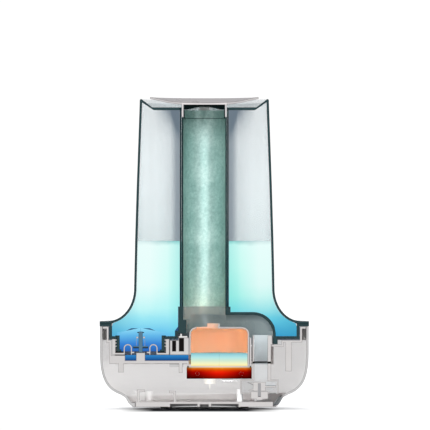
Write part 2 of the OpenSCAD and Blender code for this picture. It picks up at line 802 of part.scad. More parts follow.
module rotary_switch() {
    back = panel_y - base_wall - switch_depth;
    color([0.2, 0.22, 0.25]) difference() {
        union() {
            panel_pin(0, knob_z, 9, back, panel_y - base_wall - 1);
            panel_pin(0, knob_z, 5.5, back, panel_y - base_wall - fit_gap);
        }
        panel_pin(0, knob_z, knob_shaft_r + run_gap, back + 2, panel_y);
    }
}

module power_button() {
    color([0.2, 0.45, 0.75]) {
        panel_pin(control_dx, knob_z, button_r, panel_y + button_travel + 0.4, button_front);
        panel_pin(control_dx, knob_z, button_r - 2, panel_y - base_wall - 1, panel_y + button_travel + 1);
    }
}

module switch_block() {
    back = panel_y - base_wall - switch_depth;
    color([0.12, 0.12, 0.13])
        panel_box(control_dx - 6, control_dx + 6, back, panel_y - base_wall - 1 - button_travel - 0.4,
            knob_z - 6, knob_z + 6);
}

module indicator_lights() {
    color([0.35, 0.8, 0.55]) for (i = [-1:1]) {
        panel_pin(-control_dx, knob_z + i * light_pitch, light_r, panel_y + fit_gap, panel_front + 0.8);
        panel_pin(-control_dx, knob_z + i * light_pitch, light_r - 0.6,
            panel_y - base_wall - switch_depth, panel_y + 0.5);
    }
}

module control_board() {
    color([0.1, 0.4, 0.25]) difference() {
        panel_box(-panel_w / 2 + 4, panel_w / 2 - 4, board_y, board_y + board_t - fit_gap,
            panel_z + 1, panel_z + panel_h - 1);
        board_pins(screw_hole_r + 0.2, board_y - 1, board_y + 5);
    }
    color([0.15, 0.15, 0.15]) {
        panel_box(-30, -16, board_y - 8, board_y, knob_z - 10, knob_z + 8);
        panel_pin(14, knob_z - 6, 5, board_y - 14, board_y);
        panel_box(22, 36, board_y - 11, board_y, knob_z - 8, knob_z + 8);
    }
}

// The four screws run forward through the board into standoffs of the housing
module board_screws() {
    color("silver") for (x = [-1, 1]) for (z = [-1, 1])
        translate([x * board_screw_x, -board_y, knob_z + z * board_screw_z])
            rotate([90, 0, 0]) screw(switch_depth - 1);
}

// Pins through the four corners of the control board, from depth y0 to y1
module board_pins(r, y0, y1) {
    for (x = [-1, 1]) for (z = [-1, 1])
        panel_pin(x * board_screw_x, knob_z + z * board_screw_z, r, y0, y1);
}

module gland_axis() { translate([0, base_r - 7, gland_z]) rotate([-90, 0, 0]) children(); }

module cord_gland() {
    color([0.9, 0.9, 0.9]) gland_axis() difference() {
        union() {
            translate([0, 0, -5]) cylinder(r = gland_r, h = 11);
            translate([0, 0, -5]) cylinder(r = gland_flange_r, h = 2);
            translate([0, 0, 5.4]) cylinder(r1 = gland_r, r2 = gland_r - 1.4, h = 2);
        }
        translate([0, 0, -10]) cylinder(r = 3.4, h = 30);
    }
}

module reed_switch() {
    color([0.3, 0.32, 0.35]) translate([float_x, float_y, sump_under - 5])
        block([-9, -4, 0], [9, 4, 5 - fit_gap]);
}

module float() {
    color([0.95, 0.95, 0.93]) translate([float_x, float_y, float_z]) difference() {
        union() {
            cylinder(r = float_r, h = float_h - 2);
            cylinder(r = float_r - 1.5, h = float_h);
        }
        translate([0, 0, -1]) cylinder(r = 4, h = 4);
    }
}

module float_magnet() {
    color([0.3, 0.3, 0.32]) translate([float_x, float_y, float_z]) cylinder(r = 4 - fit_gap, h = 3 - fit_gap);
}

module tank_shell() {
    bell_z = flange_top + flare_h;
    mid_z = [for (share = [0.265, 0.56]) bell_z + (rim_z - bell_z) * share];
    mid_r = [for (share = [0.2, 0.49]) tank_r - (tank_r - tank_top_r) * share];
    color([0.16, 0.28, 0.3]) rotate_extrude() polygon(concat(
        [[flange_r, weld_z], [flange_r, flange_top]],
        [for (t = steps(12)) curve(bell, 1 - t)],
        [[mid_r[0], mid_z[0]], [mid_r[1], mid_z[1]], [tank_top_r, rim_z - 1.2], [tank_top_r - 1.6, rim_z]],
        [[tank_top_r - 16, dish_z], [flue_r + fit_gap, dish_z], [flue_r + fit_gap, dish_z - dish_t]],
        [[tank_top_r - 17.6, dish_z - dish_t], [tank_top_r - tank_wall, rim_z - 4.6]],
        [[mid_r[1] - tank_wall, mid_z[1]], [mid_r[0] - tank_wall, mid_z[0]]],
        [for (t = steps(12, 0.9)) beside(bell, t, -tank_wall)],
        [[tank_skirt_r - tank_wall, weld_z]]
    ));
}

module flue_tube() {
    color([0.1, 0.18, 0.2]) ring(flue_r, flue_in_r, collar_top, dish_z - collar_top);
}

module flue_sleeve() {
    color([0.5, 0.66, 0.66]) ring(sleeve_r, sleeve_in_r, collar_top, ring_z - collar_top);
}

module sleeve_ring() {
    color([0.55, 0.72, 0.72]) {
        ring(ring_r, ring_r - 1.2, ring_z, ring_top - ring_z);
        ring(sleeve_r, ring_r - 1.2, ring_z, 1.6);
    }
}

// Plan of the mixing chamber: a round over the boiler that narrows to the duct
module chamber_plan(grow) {
    r = chamber_r + grow;
    end = [chamber_end + grow - boiler_x, chamber_half + grow];
    a = atan2(end[1], end[0]) + acos(r / norm(end));
    translate([boiler_x, 0]) {
        circle(r = r);
        polygon([[0, 0], r * [cos(a), sin(a)], end, [end[0], -end[1]], r * [cos(a), -sin(a)]]);
    }
}

// The mixing chamber, with a rounded shoulder over the duct
module chamber(grow, z) {
    round = chamber_round + grow;
    top = pocket_top - chamber_wall + grow;
    x = chamber_end + grow - round;
    intersection() {
        translate([0, 0, z]) linear_extrude(height = top - z + 1) chamber_plan(grow);
        rotate([90, 0, 0]) translate([0, 0, -100]) linear_extrude(height = 200) {
            translate([x, top - round]) circle(r = round);
            translate([-100, z]) square([100 + x, top - z]);
            translate([-100, z]) square([100 + x + round, top - round - z]);
        }
    }
}

// Outside of the mixing dome: the chamber, its collar for the flue and the rib beyond the duct
module dome_outside(grow) {
    cylinder_from(collar_void_r + 2.6 + grow, tank_floor_z - grow, collar_z + 3 + grow);
    cylinder_from(collar_r, collar_z, collar_top);
    chamber(chamber_wall + grow, tank_floor_z - grow);
    intersection() {
        chamber(chamber_wall + rib_t + grow, recess_z + 0.6 - grow);
        block([duct_in_x + 8 - grow, -100, recess_z + 0.6 - grow], [200, 100, tank_floor_top + grow]);
    }
}

module mixing_dome() {
    color([0.16, 0.28, 0.3]) difference() {
        dome_outside(0);
        chamber(0, recess_z - 20);
        cylinder_from(collar_void_r, recess_z - 20, collar_z);
        cylinder_from(sleeve_in_r, pocket_top - 10, collar_top + 1);
    }
}

module tank_neck() {
    shoulder = 1.2;
    color([0.16, 0.28, 0.3]) translate([-neck_x, 0, 0]) difference() {
        union() {
            cylinder_from(neck_r, neck_z, tank_floor_top + shoulder);
            cylinder_from(neck_r + 2, tank_floor_top + fit_gap, tank_floor_top + shoulder);
            for (i = [0:ridges - 1])
                ring(neck_r + ridge_w, neck_r - 1, first_ridge_z + i * thread_pitch, ridge_t);
        }
        cylinder_from(neck_r - neck_wall, neck_z + 2.6, tank_floor_top + shoulder + 1);
        cylinder_from(neck_r - neck_wall - 2.2, neck_z - 1, tank_floor_top);
    }
}

module tank_floor() {
    color([0.16, 0.28, 0.3]) difference() {
        union() {
            translate([0, 0, tank_floor_z]) cylinder(r = tank_skirt_r, h = tank_floor_t);
            ring(tank_skirt_r, tank_skirt_r - tank_wall, tank_floor_z, weld_z - tank_floor_z);
            ring(flange_r, tank_skirt_r - tank_wall, flange_z, flange_t);
        }
        dome_outside(fit_gap);
        chamber(0, recess_z - 20);
        cylinder_from(collar_void_r, recess_z - 20, collar_z);
        translate([-neck_x, 0, 0]) cylinder_from(neck_r + fit_gap, tank_floor_z - 1, tank_floor_top + 1);
    }
}

module cylinder_from(r, z0, z1) { translate([0, 0, z0]) cylinder(r = r, h = z1 - z0); }

module tank_cap() {
    flutes = 24;
    color([0.84, 0.84, 0.84]) translate([-neck_x, 0, 0]) {
        difference() {
            union() {
                ring(cap_r, cap_in_r, cap_z, cap_top - cap_z);
                ring(cap_r, hump_r, cap_z, cap_floor_t);
                for (i = [0:ridges - 1])
                    ring(cap_in_r + 1, cap_in_r - ridge_w, first_ridge_z + (i + 0.5) * thread_pitch, ridge_t);
                rotate_extrude() difference() {
                    hump_outline(hump_w, cap_z);
                    hump_outline(hump_w - hump_t, cap_z - 5);
                }
            }
            for (i = [0:flutes - 1]) rotate((i + 0.5) * 360 / flutes)
                translate([cap_r + 1.3, 0, cap_z - 1]) cylinder(r = 2, h = cap_top - cap_z + 2);
            ring(hump_r + hump_w - hump_t, hump_r - hump_w + hump_t, cap_z - 5, 5 + cap_floor_t + 0.6);
        }
        ring(hump_r - hump_w + 1, valve_hole_r, seat_z, seat_t);
        // guide of the valve stem, held by three arms
        ring(stem_r + 3, stem_r + slide_gap, guide_z, guide_t);
        for (a = [90, 210, 330]) rotate(a) {
            block([stem_r + 1, -1.3, guide_z], [hump_r - 1, 1.3, guide_z + guide_t]);
            block([hump_r - 3.4, -1.3, hump_z + hump_w - 2], [hump_r - 1, 1.3, guide_z + guide_t]);
        }
    }
}

module hump_outline(w, z) {
    translate([hump_r, hump_z]) circle(r = w);
    translate([hump_r - w, z]) square([2 * w, hump_z - z]);
}

module cap_gasket() {
    color([0.12, 0.12, 0.13]) translate([-neck_x, 0, 0])
        ring(cap_in_r - fit_gap, neck_r - neck_wall - 1.8, cap_z + cap_floor_t, cap_gasket_t);
}

module valve_plunger() {
    color([0.3, 0.42, 0.5]) translate([-neck_x, 0, 0]) {
        cylinder_from(plunger_r, seal_z + seal_t, plunger_top);
        cylinder_from(stem_r, post_top + seat_gap, stem_top);
    }
}

module valve_seal() {
    color([0.12, 0.12, 0.13]) translate([-neck_x, 0, 0])
        ring(plunger_r, stem_r + fit_gap, seal_z, seal_t);
}

module valve_clip() {
    color([0.1, 0.12, 0.14]) translate([-neck_x, 0, 0]) {
        ring(stem_r + 1.8, stem_r + fit_gap, stem_top - 1.8, 1.2);
    }
}

// Compression spring as a tube swept along a helix
module valve_spring() {
    turns = 5;
    per_turn = 16;
    sides = 8;
    wire = 0.5;
    coil_r = 5.4;
    z0 = plunger_top + wire + 0.1;
    z1 = guide_z - wire - 0.1;
    count = turns * per_turn;
    points = [
        for (i = [0:count]) let (a = i * 360 / per_turn, z = z0 + (z1 - z0) * i / count)
            for (j = [0:sides - 1]) let (b = j * 360 / sides, r = coil_r + wire * cos(b))
                [r * cos(a), r * sin(a), z + wire * sin(b)]
    ];
    walls = [
        for (i = [0:count - 1]) for (j = [0:sides - 1]) let (k = (j + 1) % sides)
            [i * sides + j, (i + 1) * sides + j, (i + 1) * sides + k, i * sides + k]
    ];
    start = [for (j = [0:sides - 1]) j];
    end = [for (j = [sides - 1:-1:0]) count * sides + j];
    color("silver") translate([-neck_x, 0, 0])
        polyhedron(points, concat(walls, [start, end]), convexity = 10);
}

module mist_cap() {
    t = 2.4;
    color([0.87, 0.84, 0.84]) {
        rotate_extrude() polygon([
            [0, cap_under], [flue_in_r, cap_under], [mist_cap_r * 0.65, cap_under + mist_cap_rise * 0.26],
            [mist_cap_r, cap_under + mist_cap_rise - 1.4], [mist_cap_r, cap_under + mist_cap_rise + 0.6],
            [mist_cap_r - 1, cap_under + mist_cap_rise + 1],
            [mist_cap_r * 0.65, cap_under + mist_cap_rise * 0.26 + t],
            [flue_in_r - 4, cap_under + t + 0.6], [8, cap_under + t], [0, cap_under + t]
        ]);
        intersection() {
            ring(leg_r, leg_in_r, leg_z, cap_under + 1 - leg_z);
            for (a = [0, 90]) rotate(a)
                block([-flue_r, -leg_w / 2, leg_z - 1], [flue_r, leg_w / 2, cap_under + 2]);
        }
    }
}

base_housing();
bottom_plate();
rubber_feet();
bottom_screws();
water_tray();
tray_screws();
thermal_breaks();
chimney_seat();
boiler_gasket();
heater_plate();
heater_block();
heating_element();
heater_insulator();
heater_screws();
thermostat();
thermal_fuse();
steam_hood();
air_duct();
duct_gasket();
fan_housing();
fan_motor();
fan_screws();
intake_grille();
fan_impeller();
fan_shaft();
control_bezel();
rotary_switch();
switch_block();
indicator_lights();
control_board();
board_screws();
mist_knob();
knob_shaft();
power_button();
cord_gland();
reed_switch();
float();
float_magnet();
tank_shell();
flue_tube();
flue_sleeve();
sleeve_ring();
tank_floor();
tank_neck();
mixing_dome();
tank_cap();
cap_gasket();
valve_plunger();
valve_seal();
valve_clip();
valve_spring();
mist_cap();
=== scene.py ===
"""Looks of the humidifier: materials, water, studio, and a camera on the section through the flue's axis."""
import json
import math

import bmesh
import bpy
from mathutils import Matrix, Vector
from mathutils.bvhtree import BVHTree
from mathutils.geometry import delaunay_2d_cdt

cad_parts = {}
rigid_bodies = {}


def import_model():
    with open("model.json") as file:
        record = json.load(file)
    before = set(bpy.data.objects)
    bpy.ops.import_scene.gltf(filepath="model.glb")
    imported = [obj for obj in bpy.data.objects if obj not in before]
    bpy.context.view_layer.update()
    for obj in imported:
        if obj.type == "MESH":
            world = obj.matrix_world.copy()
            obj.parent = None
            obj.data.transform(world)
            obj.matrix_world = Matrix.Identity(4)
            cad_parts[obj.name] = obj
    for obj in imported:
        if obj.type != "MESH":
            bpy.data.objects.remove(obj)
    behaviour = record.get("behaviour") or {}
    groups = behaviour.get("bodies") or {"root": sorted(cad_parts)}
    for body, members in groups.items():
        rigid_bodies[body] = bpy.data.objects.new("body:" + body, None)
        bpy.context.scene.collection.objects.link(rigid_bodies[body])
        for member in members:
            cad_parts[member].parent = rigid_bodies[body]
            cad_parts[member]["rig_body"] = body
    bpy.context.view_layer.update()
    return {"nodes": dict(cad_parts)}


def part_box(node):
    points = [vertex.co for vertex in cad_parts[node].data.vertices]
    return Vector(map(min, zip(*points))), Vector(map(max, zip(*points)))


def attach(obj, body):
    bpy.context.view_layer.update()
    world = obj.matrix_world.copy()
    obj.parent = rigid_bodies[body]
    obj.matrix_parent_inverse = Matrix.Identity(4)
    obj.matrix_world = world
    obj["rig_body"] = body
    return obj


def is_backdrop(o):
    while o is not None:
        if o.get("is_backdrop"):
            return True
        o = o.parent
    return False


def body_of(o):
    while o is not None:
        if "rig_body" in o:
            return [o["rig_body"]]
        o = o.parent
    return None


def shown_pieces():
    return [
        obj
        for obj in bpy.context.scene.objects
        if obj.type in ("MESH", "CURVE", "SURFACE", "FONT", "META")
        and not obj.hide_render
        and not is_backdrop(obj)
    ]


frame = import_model()
nodes = frame["nodes"]
scene = bpy.context.scene
scene.view_settings.view_transform = "Standard"
MM = 0.001

# ---------------------------------------------------------------- places, in metres
NECK_X = -0.0815        # axis of the tank's neck and cap
BOILER_X = 0.0191       # axis of the boiler, heater and hood
FLUE_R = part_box("flue_tube")[1].x
FILL_Z = 0.2157         # level of the water in the tank
TRAY_FLOOR_Z = 0.0626
POOL_Z = 0.0697         # level of the water in the tray's channel and sump
BOILER_FLOOR_Z = 0.0556
BOIL_Z = 0.0724         # level of the water in the boiler
BLOCK_Z, PLATE_Z = (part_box(node)[0].z for node in ("heater_block", "heater_plate"))
PLATE_TOP_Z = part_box("heater_plate")[1].z
DISH_Z = 0.3836         # underside of the dish at the flue

# ---------------------------------------------------------------- camera
# The camera looks straight along +Y, and its near plane cuts the object open at the flue's axis.
CUT_Y = 0.00002
CAM_X, CAM_Z = 0.0137, 0.249
LENS, SENSOR = 400.0, 36.0      # in the camera's own millimetres
VIEW_WIDTH = 0.5504
FAR = 60
cam_data = bpy.data.cameras.new("camera")
cam_data.lens, cam_data.sensor_width = LENS, SENSOR
cam = bpy.data.objects.new("camera", cam_data)
scene.collection.objects.link(cam)
cam_distance = VIEW_WIDTH * LENS / SENSOR
cam.location = (CAM_X, CUT_Y - cam_distance, CAM_Z)
cam.rotation_euler = (math.radians(90), 0, 0)
cam_data.clip_start, cam_data.clip_end = cam_distance, FAR
scene.camera = cam


# ---------------------------------------------------------------- shader helpers
def linear(hex_colour):
    """A hex colour as linear RGBA."""
    parts = [int(hex_colour[i:i + 2], 16) / 255 for i in (1, 3, 5)]
    return [p / 12.92 if p <= 0.04045 else ((p + 0.055) / 1.055) ** 2.4 for p in parts] + [1.0]


class Tree:
    """A material's node tree, with short calls for what the materials here need."""

    def __init__(self, name):
        self.material = bpy.data.materials.new(name)
        self.material.use_nodes = True
        self.tree = self.material.node_tree
        self.tree.nodes.clear()
        self.output = self.add("OutputMaterial")

    def add(self, kind, **settings):
        node = self.tree.nodes.new("ShaderNode" + kind)
        for key, value in settings.items():
            setattr(node, key, value)
        return node

    def link(self, source, target):
        self.tree.links.new(source, target)

    def put(self, socket, value):
        if isinstance(value, bpy.types.NodeSocket):
            self.link(value, socket)
        else:
            socket.default_value = value

    def coords(self):
        return self.add("TexCoord").outputs["Object"]

    def noise(self, scale, detail=3.0, rough=0.55, vector=None):
        node = self.add("TexNoise")
        self.put(node.inputs["Scale"], scale)
        self.put(node.inputs["Detail"], detail)
        self.put(node.inputs["Roughness"], rough)
        self.link(vector or self.coords(), node.inputs["Vector"])
        return node.outputs["Fac"]

    def stretch(self, scale):
        node = self.add("Mapping")
        node.inputs["Scale"].default_value = scale
        self.link(self.coords(), node.inputs["Vector"])
        return node.outputs["Vector"]

    def axis(self, name):
        node = self.add("SeparateXYZ")
        self.link(self.coords(), node.inputs[0])
        return node.outputs[name]

    def math(self, operation, a, b=0.0, clamp=False):
        node = self.add("Math", operation=operation, use_clamp=clamp)
        self.put(node.inputs[0], a)
        self.put(node.inputs[1], b)
        return node.outputs[0]

    def length(self, a, b):
        """Length of the two sides a and b of a right angle, across it."""
        squares = self.math("ADD", self.math("MULTIPLY", a, a), self.math("MULTIPLY", b, b))
        return self.math("SQRT", squares)

    def from_x(self, x):
        return self.math("SUBTRACT", self.axis("X"), x)

    def span(self, value, low, high, to_low=0.0, to_high=1.0):
        node = self.add("MapRange")
        sockets = ("Value", "From Min", "From Max", "To Min", "To Max")
        for socket, v in zip(sockets, (value, low, high, to_low, to_high)):
            self.put(node.inputs[socket], v)
        return node.outputs[0]

    def ramp(self, fac, stops):
        """Colours along fac: stops are pairs of a place and a hex colour or a grey level."""
        node = self.add("ValToRGB")
        while len(node.color_ramp.elements) < len(stops):
            node.color_ramp.elements.new(0.5)
        for element, (place, colour) in zip(node.color_ramp.elements, stops):
            element.position = place
            element.color = linear(colour) if isinstance(colour, str) else [colour] * 3 + [1.0]
        self.link(fac, node.inputs[0])
        return node.outputs[0]

    def mix(self, fac, a, b):
        node = self.add("Mix", data_type="RGBA", blend_type="MIX")
        self.put(node.inputs["Factor"], fac)
        self.put(node.inputs[6], a)
        self.put(node.inputs[7], b)
        return node.outputs[2]

    def bump(self, height, distance, strength=1.0, normal=None):
        node = self.add("Bump")
        node.inputs["Distance"].default_value = distance
        node.inputs["Strength"].default_value = strength
        self.link(height, node.inputs["Height"])
        if normal:
            self.link(normal, node.inputs["Normal"])
        return node.outputs["Normal"]

    def principled(self, **inputs):
        node = self.add("BsdfPrincipled")
        for key, value in inputs.items():
            self.put(node.inputs[key.replace("_", " ")], value)
        self.link(node.outputs[0], self.output.inputs["Surface"])

    def straight_look(self, colour, strength=None):
        """A flat colour that only a camera ray shows, and only with nothing see-through before it."""
        tint, clear = self.add("Emission"), self.add("BsdfTransparent")
        mixed, path = self.add("MixShader"), self.add("LightPath")
        self.put(tint.inputs["Color"], colour)
        first = self.math("LESS_THAN", path.outputs["Transparent Depth"], 0.5)
        seen = self.math("MULTIPLY", path.outputs["Is Camera Ray"], first)
        self.link(self.math("MULTIPLY", strength, seen, True) if strength else seen, mixed.inputs[0])
        self.link(clear.outputs[0], mixed.inputs[1])
        self.link(tint.outputs[0], mixed.inputs[2])
        self.link(mixed.outputs[0], self.output.inputs["Surface"])


def shade(colour, by):
    return [max(0.0, min(1.0, c * by)) for c in colour[:3]] + [1.0]


# ---------------------------------------------------------------- kinds of material
def plastic(name, colour, rough=0.4, grain=0.05, vary=0.05, coat=0.0, rounded=0.0):
    """Moulded plastic: eroded grain, faint flow marks, uneven gloss and handling marks."""
    t = Tree(name)
    base = linear(colour)
    cloud = t.noise(14.0, 4.0)
    flow = t.noise(1.0, 5.0, 0.6, t.stretch((60, 60, 12)))
    tone = t.span(t.math("ADD", t.math("MULTIPLY", cloud, 0.6), t.math("MULTIPLY", flow, 0.4)), 0.3, 0.7)
    colour_out = t.mix(tone, shade(base, 1 - vary), shade(base, 1 + vary * 0.6))
    gloss = t.span(t.noise(38.0, 5.0, 0.62), 0.35, 0.7, rough - 0.06, rough + 0.09)
    edge = None
    if rounded:
        bevel = t.add("Bevel", samples=3)
        bevel.inputs["Radius"].default_value = rounded
        edge = bevel.outputs[0]
    normal = t.bump(t.noise(2600.0, 2.0), grain * MM, 0.55, edge)
    t.principled(Base_Color=colour_out, Roughness=gloss, Normal=normal, IOR=1.49, Coat_Weight=coat,
                 Coat_Roughness=0.12)
    return t.material


def rubber(name, colour, rough=0.72, pores=0.0):
    """Rubber or foam with dust on it. Foam has pores, whose depth is in millimetres."""
    t = Tree(name)
    base = linear(colour)
    dust = t.span(t.noise(70.0, 6.0, 0.65), 0.45, 0.75)
    colour_out = t.mix(dust, base, shade([c + 0.03 for c in base[:3]], 1.25))
    height = t.noise(1500.0, 3.0)
    if pores:
        cells = t.add("TexVoronoi")
        cells.inputs["Scale"].default_value = 900.0
        t.link(t.coords(), cells.inputs["Vector"])
        height = t.math("ADD", height, t.span(cells.outputs["Distance"], 0.0, 0.35))
    normal = t.bump(height, (0.05 + pores) * MM, 0.7)
    gloss = t.span(dust, 0, 1, rough - 0.08, rough + 0.12)
    t.principled(Base_Color=colour_out, Roughness=gloss, Normal=normal)
    return t.material


def metal(name, colour, rough=0.3):
    """Drawn metal, with fine lines along its height and faint stains."""
    t = Tree(name)
    base = linear(colour)
    lines = t.noise(1.0, 4.0, 0.6, t.stretch((900, 900, 40)))
    stain = t.span(t.noise(120.0, 5.0), 0.4, 0.75)
    gloss = t.span(lines, 0.3, 0.7, rough - 0.07, rough + 0.1)
    t.principled(Base_Color=t.mix(stain, base, shade(base, 0.78)), Metallic=1.0, Roughness=gloss,
                 Normal=t.bump(lines, 0.02 * MM, 0.6))
    return t.material


def smoked(name, colour, alpha, rough=0.12, haze=0.08):
    """Translucent smoked plastic of the tank."""
    t = Tree(name)
    base = linear(colour)
    flow = t.noise(1.0, 4.0, 0.5, t.stretch((30, 30, 5)))
    colour_out = t.mix(t.span(flow, 0.3, 0.7), shade(base, 1 - haze), shade(base, 1 + haze))
    gloss = t.span(t.noise(45.0, 5.0, 0.6), 0.35, 0.75, rough, rough + 0.1)
    t.principled(Base_Color=colour_out, Roughness=gloss, Alpha=alpha,
                 Normal=t.bump(t.noise(220.0, 2.0), 0.02 * MM, 0.3), IOR=1.45, Coat_Weight=0.35,
                 Coat_Roughness=0.06)
    return t.material


def sleeve_material(name, seam=None):
    """Satin sleeve of the flue, with the mottle of a sprayed finish, and painted shade in the seam under the
    ring.
    """
    t = Tree(name)
    mottle = t.noise(260.0, 5.0, 0.7)
    cloud = t.noise(26.0, 4.0)
    tone = t.math("ADD", t.math("MULTIPLY", mottle, 0.55), t.math("MULTIPLY", cloud, 0.45))
    colour = t.ramp(t.span(tone, 0.36, 0.66), [(0.0, "#9dbab6"), (0.5, "#bcd3cf"), (1.0, "#dbebe7")])
    if seam:
        # Painted shade: the lowest part of the ring is darkened where it meets the sleeve.
        seam_shade = t.span(t.axis("Z"), seam + 0.3 * MM, seam + 1.4 * MM, 0.85, 0.0)
        colour = t.mix(seam_shade, colour, linear("#1d3032"))
    t.principled(Base_Color=colour, Metallic=0.8, Roughness=t.span(cloud, 0.3, 0.7, 0.32, 0.46),
                 Normal=t.bump(mottle, 0.06 * MM, 0.5))
    return t.material


def glow(name, low, high, stops, strength):
    """Metal of the heater with a painted glow, though the heater is no lamp: the glow's colour runs with
    height, and fades towards the rim.
    """
    t = Tree(name)
    height = t.span(t.axis("Z"), low, high)
    scale = t.noise(260.0, 5.0, 0.65)
    fac = t.math("ADD", height, t.math("MULTIPLY", t.math("SUBTRACT", scale, 0.5), 0.14))
    rim = t.span(t.length(t.from_x(BOILER_X), t.axis("Y")), 0.0231, 0.042, 1.0, 0.45)
    painted_glow = t.mix(rim, linear("#160302"), t.ramp(fac, stops))
    t.principled(Base_Color=linear("#2a0d08"), Roughness=t.span(scale, 0.3, 0.7, 0.5, 0.75),
                 Emission_Color=painted_glow, Emission_Strength=strength, Normal=t.bump(scale, 0.1 * MM, 0.6))
    return t.material


def water(name, stops, low, high, alpha):
    """Water whose colour runs with height from low to high, with a faint painted glow in that colour."""
    t = Tree(name)
    colour = t.ramp(t.span(t.axis("Z"), low, high), stops)
    ripple = t.bump(t.noise(60.0, 3.0), 0.5 * MM, 0.4)
    # The emission gives the water a faint painted glow in its own colour.
    t.principled(Base_Color=colour, Roughness=0.04, Alpha=alpha, Normal=ripple, IOR=1.33,
                 Emission_Strength=0.12, Emission_Color=colour)
    return t.material


def board_material():
    """Solder mask with copper tracks under it."""
    t = Tree("board")
    tracks = t.add("TexBrick")
    t.link(t.stretch((150, 150, 150)), tracks.inputs["Vector"])
    tracks.inputs["Mortar Size"].default_value = 0.06
    colour = t.mix(tracks.outputs["Fac"], linear("#11502b"), linear("#2c7a45"))
    t.principled(Base_Color=colour, Roughness=0.35, Normal=t.bump(tracks.outputs["Fac"], 0.05 * MM, 0.6))
    return t.material


# ---------------------------------------------------------------- materials of the CAD nodes
# Colours of the heater's painted glow.
PLATE_GLOW_STOPS = [(0.0, "#e2290a"), (0.6, "#ff5f14"), (1.0, "#ffb23c")]
BLOCK_GLOW_STOPS = [(0.0, "#3a0805"), (0.45, "#a5120a"), (1.0, "#e02c0c")]
FINISH = {
    "air_duct fan_housing": plastic("duct", "#dedfe0", 0.45, 0.05, 0.04),
    "base_housing bottom_plate cord_gland": plastic("housing", "#e6e5e5", 0.36, 0.05, 0.03, rounded=0.6 * MM),
    "boiler_gasket duct_gasket cap_gasket valve_seal rubber_feet": rubber("rubber", "#1b1b1c"),
    "bottom_screws tray_screws heater_screws fan_screws board_screws fan_shaft valve_spring knob_shaft":
        metal("zinc", "#b9babd", 0.28),
    "chimney_seat": rubber("silicone", "#e9e9e6", 0.5),
    "control_bezel": plastic("bezel", "#c9cbcd", 0.33, 0.03, 0.03, rounded=0.4 * MM),
    "control_board": board_material(),
    "fan_impeller": plastic("impeller", "#aab3b8", 0.42, 0.04, 0.05),
    "fan_motor reed_switch rotary_switch switch_block valve_clip":
        plastic("black_moulding", "#252628", 0.5, 0.06, 0.1),
    "float": plastic("float_foam", "#f0f0ec", 0.6, 0.12, 0.03),
    "float_magnet": metal("ferrite", "#3a3a3d", 0.55),
    "flue_sleeve": sleeve_material("sleeve"),
    "heater_block": glow("hot_block", BLOCK_Z, PLATE_Z, BLOCK_GLOW_STOPS, 1.0),
    "heater_insulator": plastic("mica", "#33140f", 0.6, 0.1, 0.12),
    "heater_plate": glow("hot_plate", PLATE_Z, PLATE_TOP_Z, PLATE_GLOW_STOPS, 1.1),
    "heating_element": metal("element", "#5a2a1e", 0.45),
    "indicator_lights": plastic("light_pipe", "#79cf9a", 0.2, 0.01, 0.05),
    "intake_grille": plastic("grille", "#a5a8ab", 0.45, 0.05, 0.05),
    "mist_cap": plastic("mist_cap", "#cdc6c6", 0.3, 0.03, 0.03, coat=0.25, rounded=0.6 * MM),
    "mist_knob": plastic("knob", "#4a5054", 0.42, 0.07, 0.06, rounded=0.5 * MM),
    "mixing_dome": smoked("dome_smoke", "#aab4b4", 0.75, 0.25),
    "power_button": plastic("button", "#2f6fa8", 0.3, 0.03, 0.04, coat=0.3, rounded=0.5 * MM),
    "sleeve_ring": sleeve_material("ring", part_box("sleeve_ring")[0].z),
    "steam_hood": plastic("hood", "#e9e4e2", 0.4, 0.05, 0.03),
    "tank_cap": plastic("cap", "#dcdcdc", 0.42, 0.05, 0.03, rounded=0.4 * MM),
    "tank_shell tank_floor tank_neck flue_tube": smoked("tank_smoke", "#d6e0e3", 0.32),
    "thermal_breaks": rubber("foam", "#1a1817", 0.85, 0.25),
    "thermal_fuse": metal("fuse", "#c9c9cc", 0.25),
    "thermostat": plastic("steatite", "#e4dfd0", 0.4, 0.04, 0.05),
    "valve_plunger": plastic("valve", "#5f7f95", 0.35, 0.03, 0.04),
    "water_tray": plastic("tray", "#e2e1e0", 0.42, 0.04, 0.03, rounded=0.4 * MM),
}
finish_of = {name: material for names, material in FINISH.items() for name in names.split()}
for name, node in nodes.items():
    node.data.materials.clear()
    node.data.materials.append(finish_of[name])


# ---------------------------------------------------------------- mesh helpers
def mesh_object(name, bm, smooth=True):
    mesh = bpy.data.meshes.new(name)
    bm.to_mesh(mesh)
    bm.free()
    mesh.polygons.foreach_set("use_smooth", [smooth] * len(mesh.polygons))
    return bpy.data.objects.new(name, mesh)


def link(obj, body, material):
    scene.collection.objects.link(obj)
    obj.data.materials.append(material)
    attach(obj, body)


def revolve(profile, centre_x=0.0, steps=96):
    """A closed solid: the profile of (radius, height) points turned round the upright axis at centre_x."""
    bm = bmesh.new()
    rings = []
    for i in range(steps):
        a = 2 * math.pi * i / steps
        rings.append([bm.verts.new((centre_x + r * math.cos(a), r * math.sin(a), z)) for r, z in profile])
    n = len(profile)
    for i in range(steps):
        here, there = rings[i], rings[(i + 1) % steps]
        for j in range(n):
            bm.faces.new((here[j], there[j], there[(j + 1) % n], here[(j + 1) % n]))
    bmesh.ops.remove_doubles(bm, verts=bm.verts, dist=1e-7)
    bmesh.ops.recalc_face_normals(bm, faces=bm.faces)
    return bm


def tree_of(name):
    bm = bmesh.new()
    bm.from_mesh(nodes[name].data)
    tree = BVHTree.FromBMesh(bm)
    bm.free()
    return tree


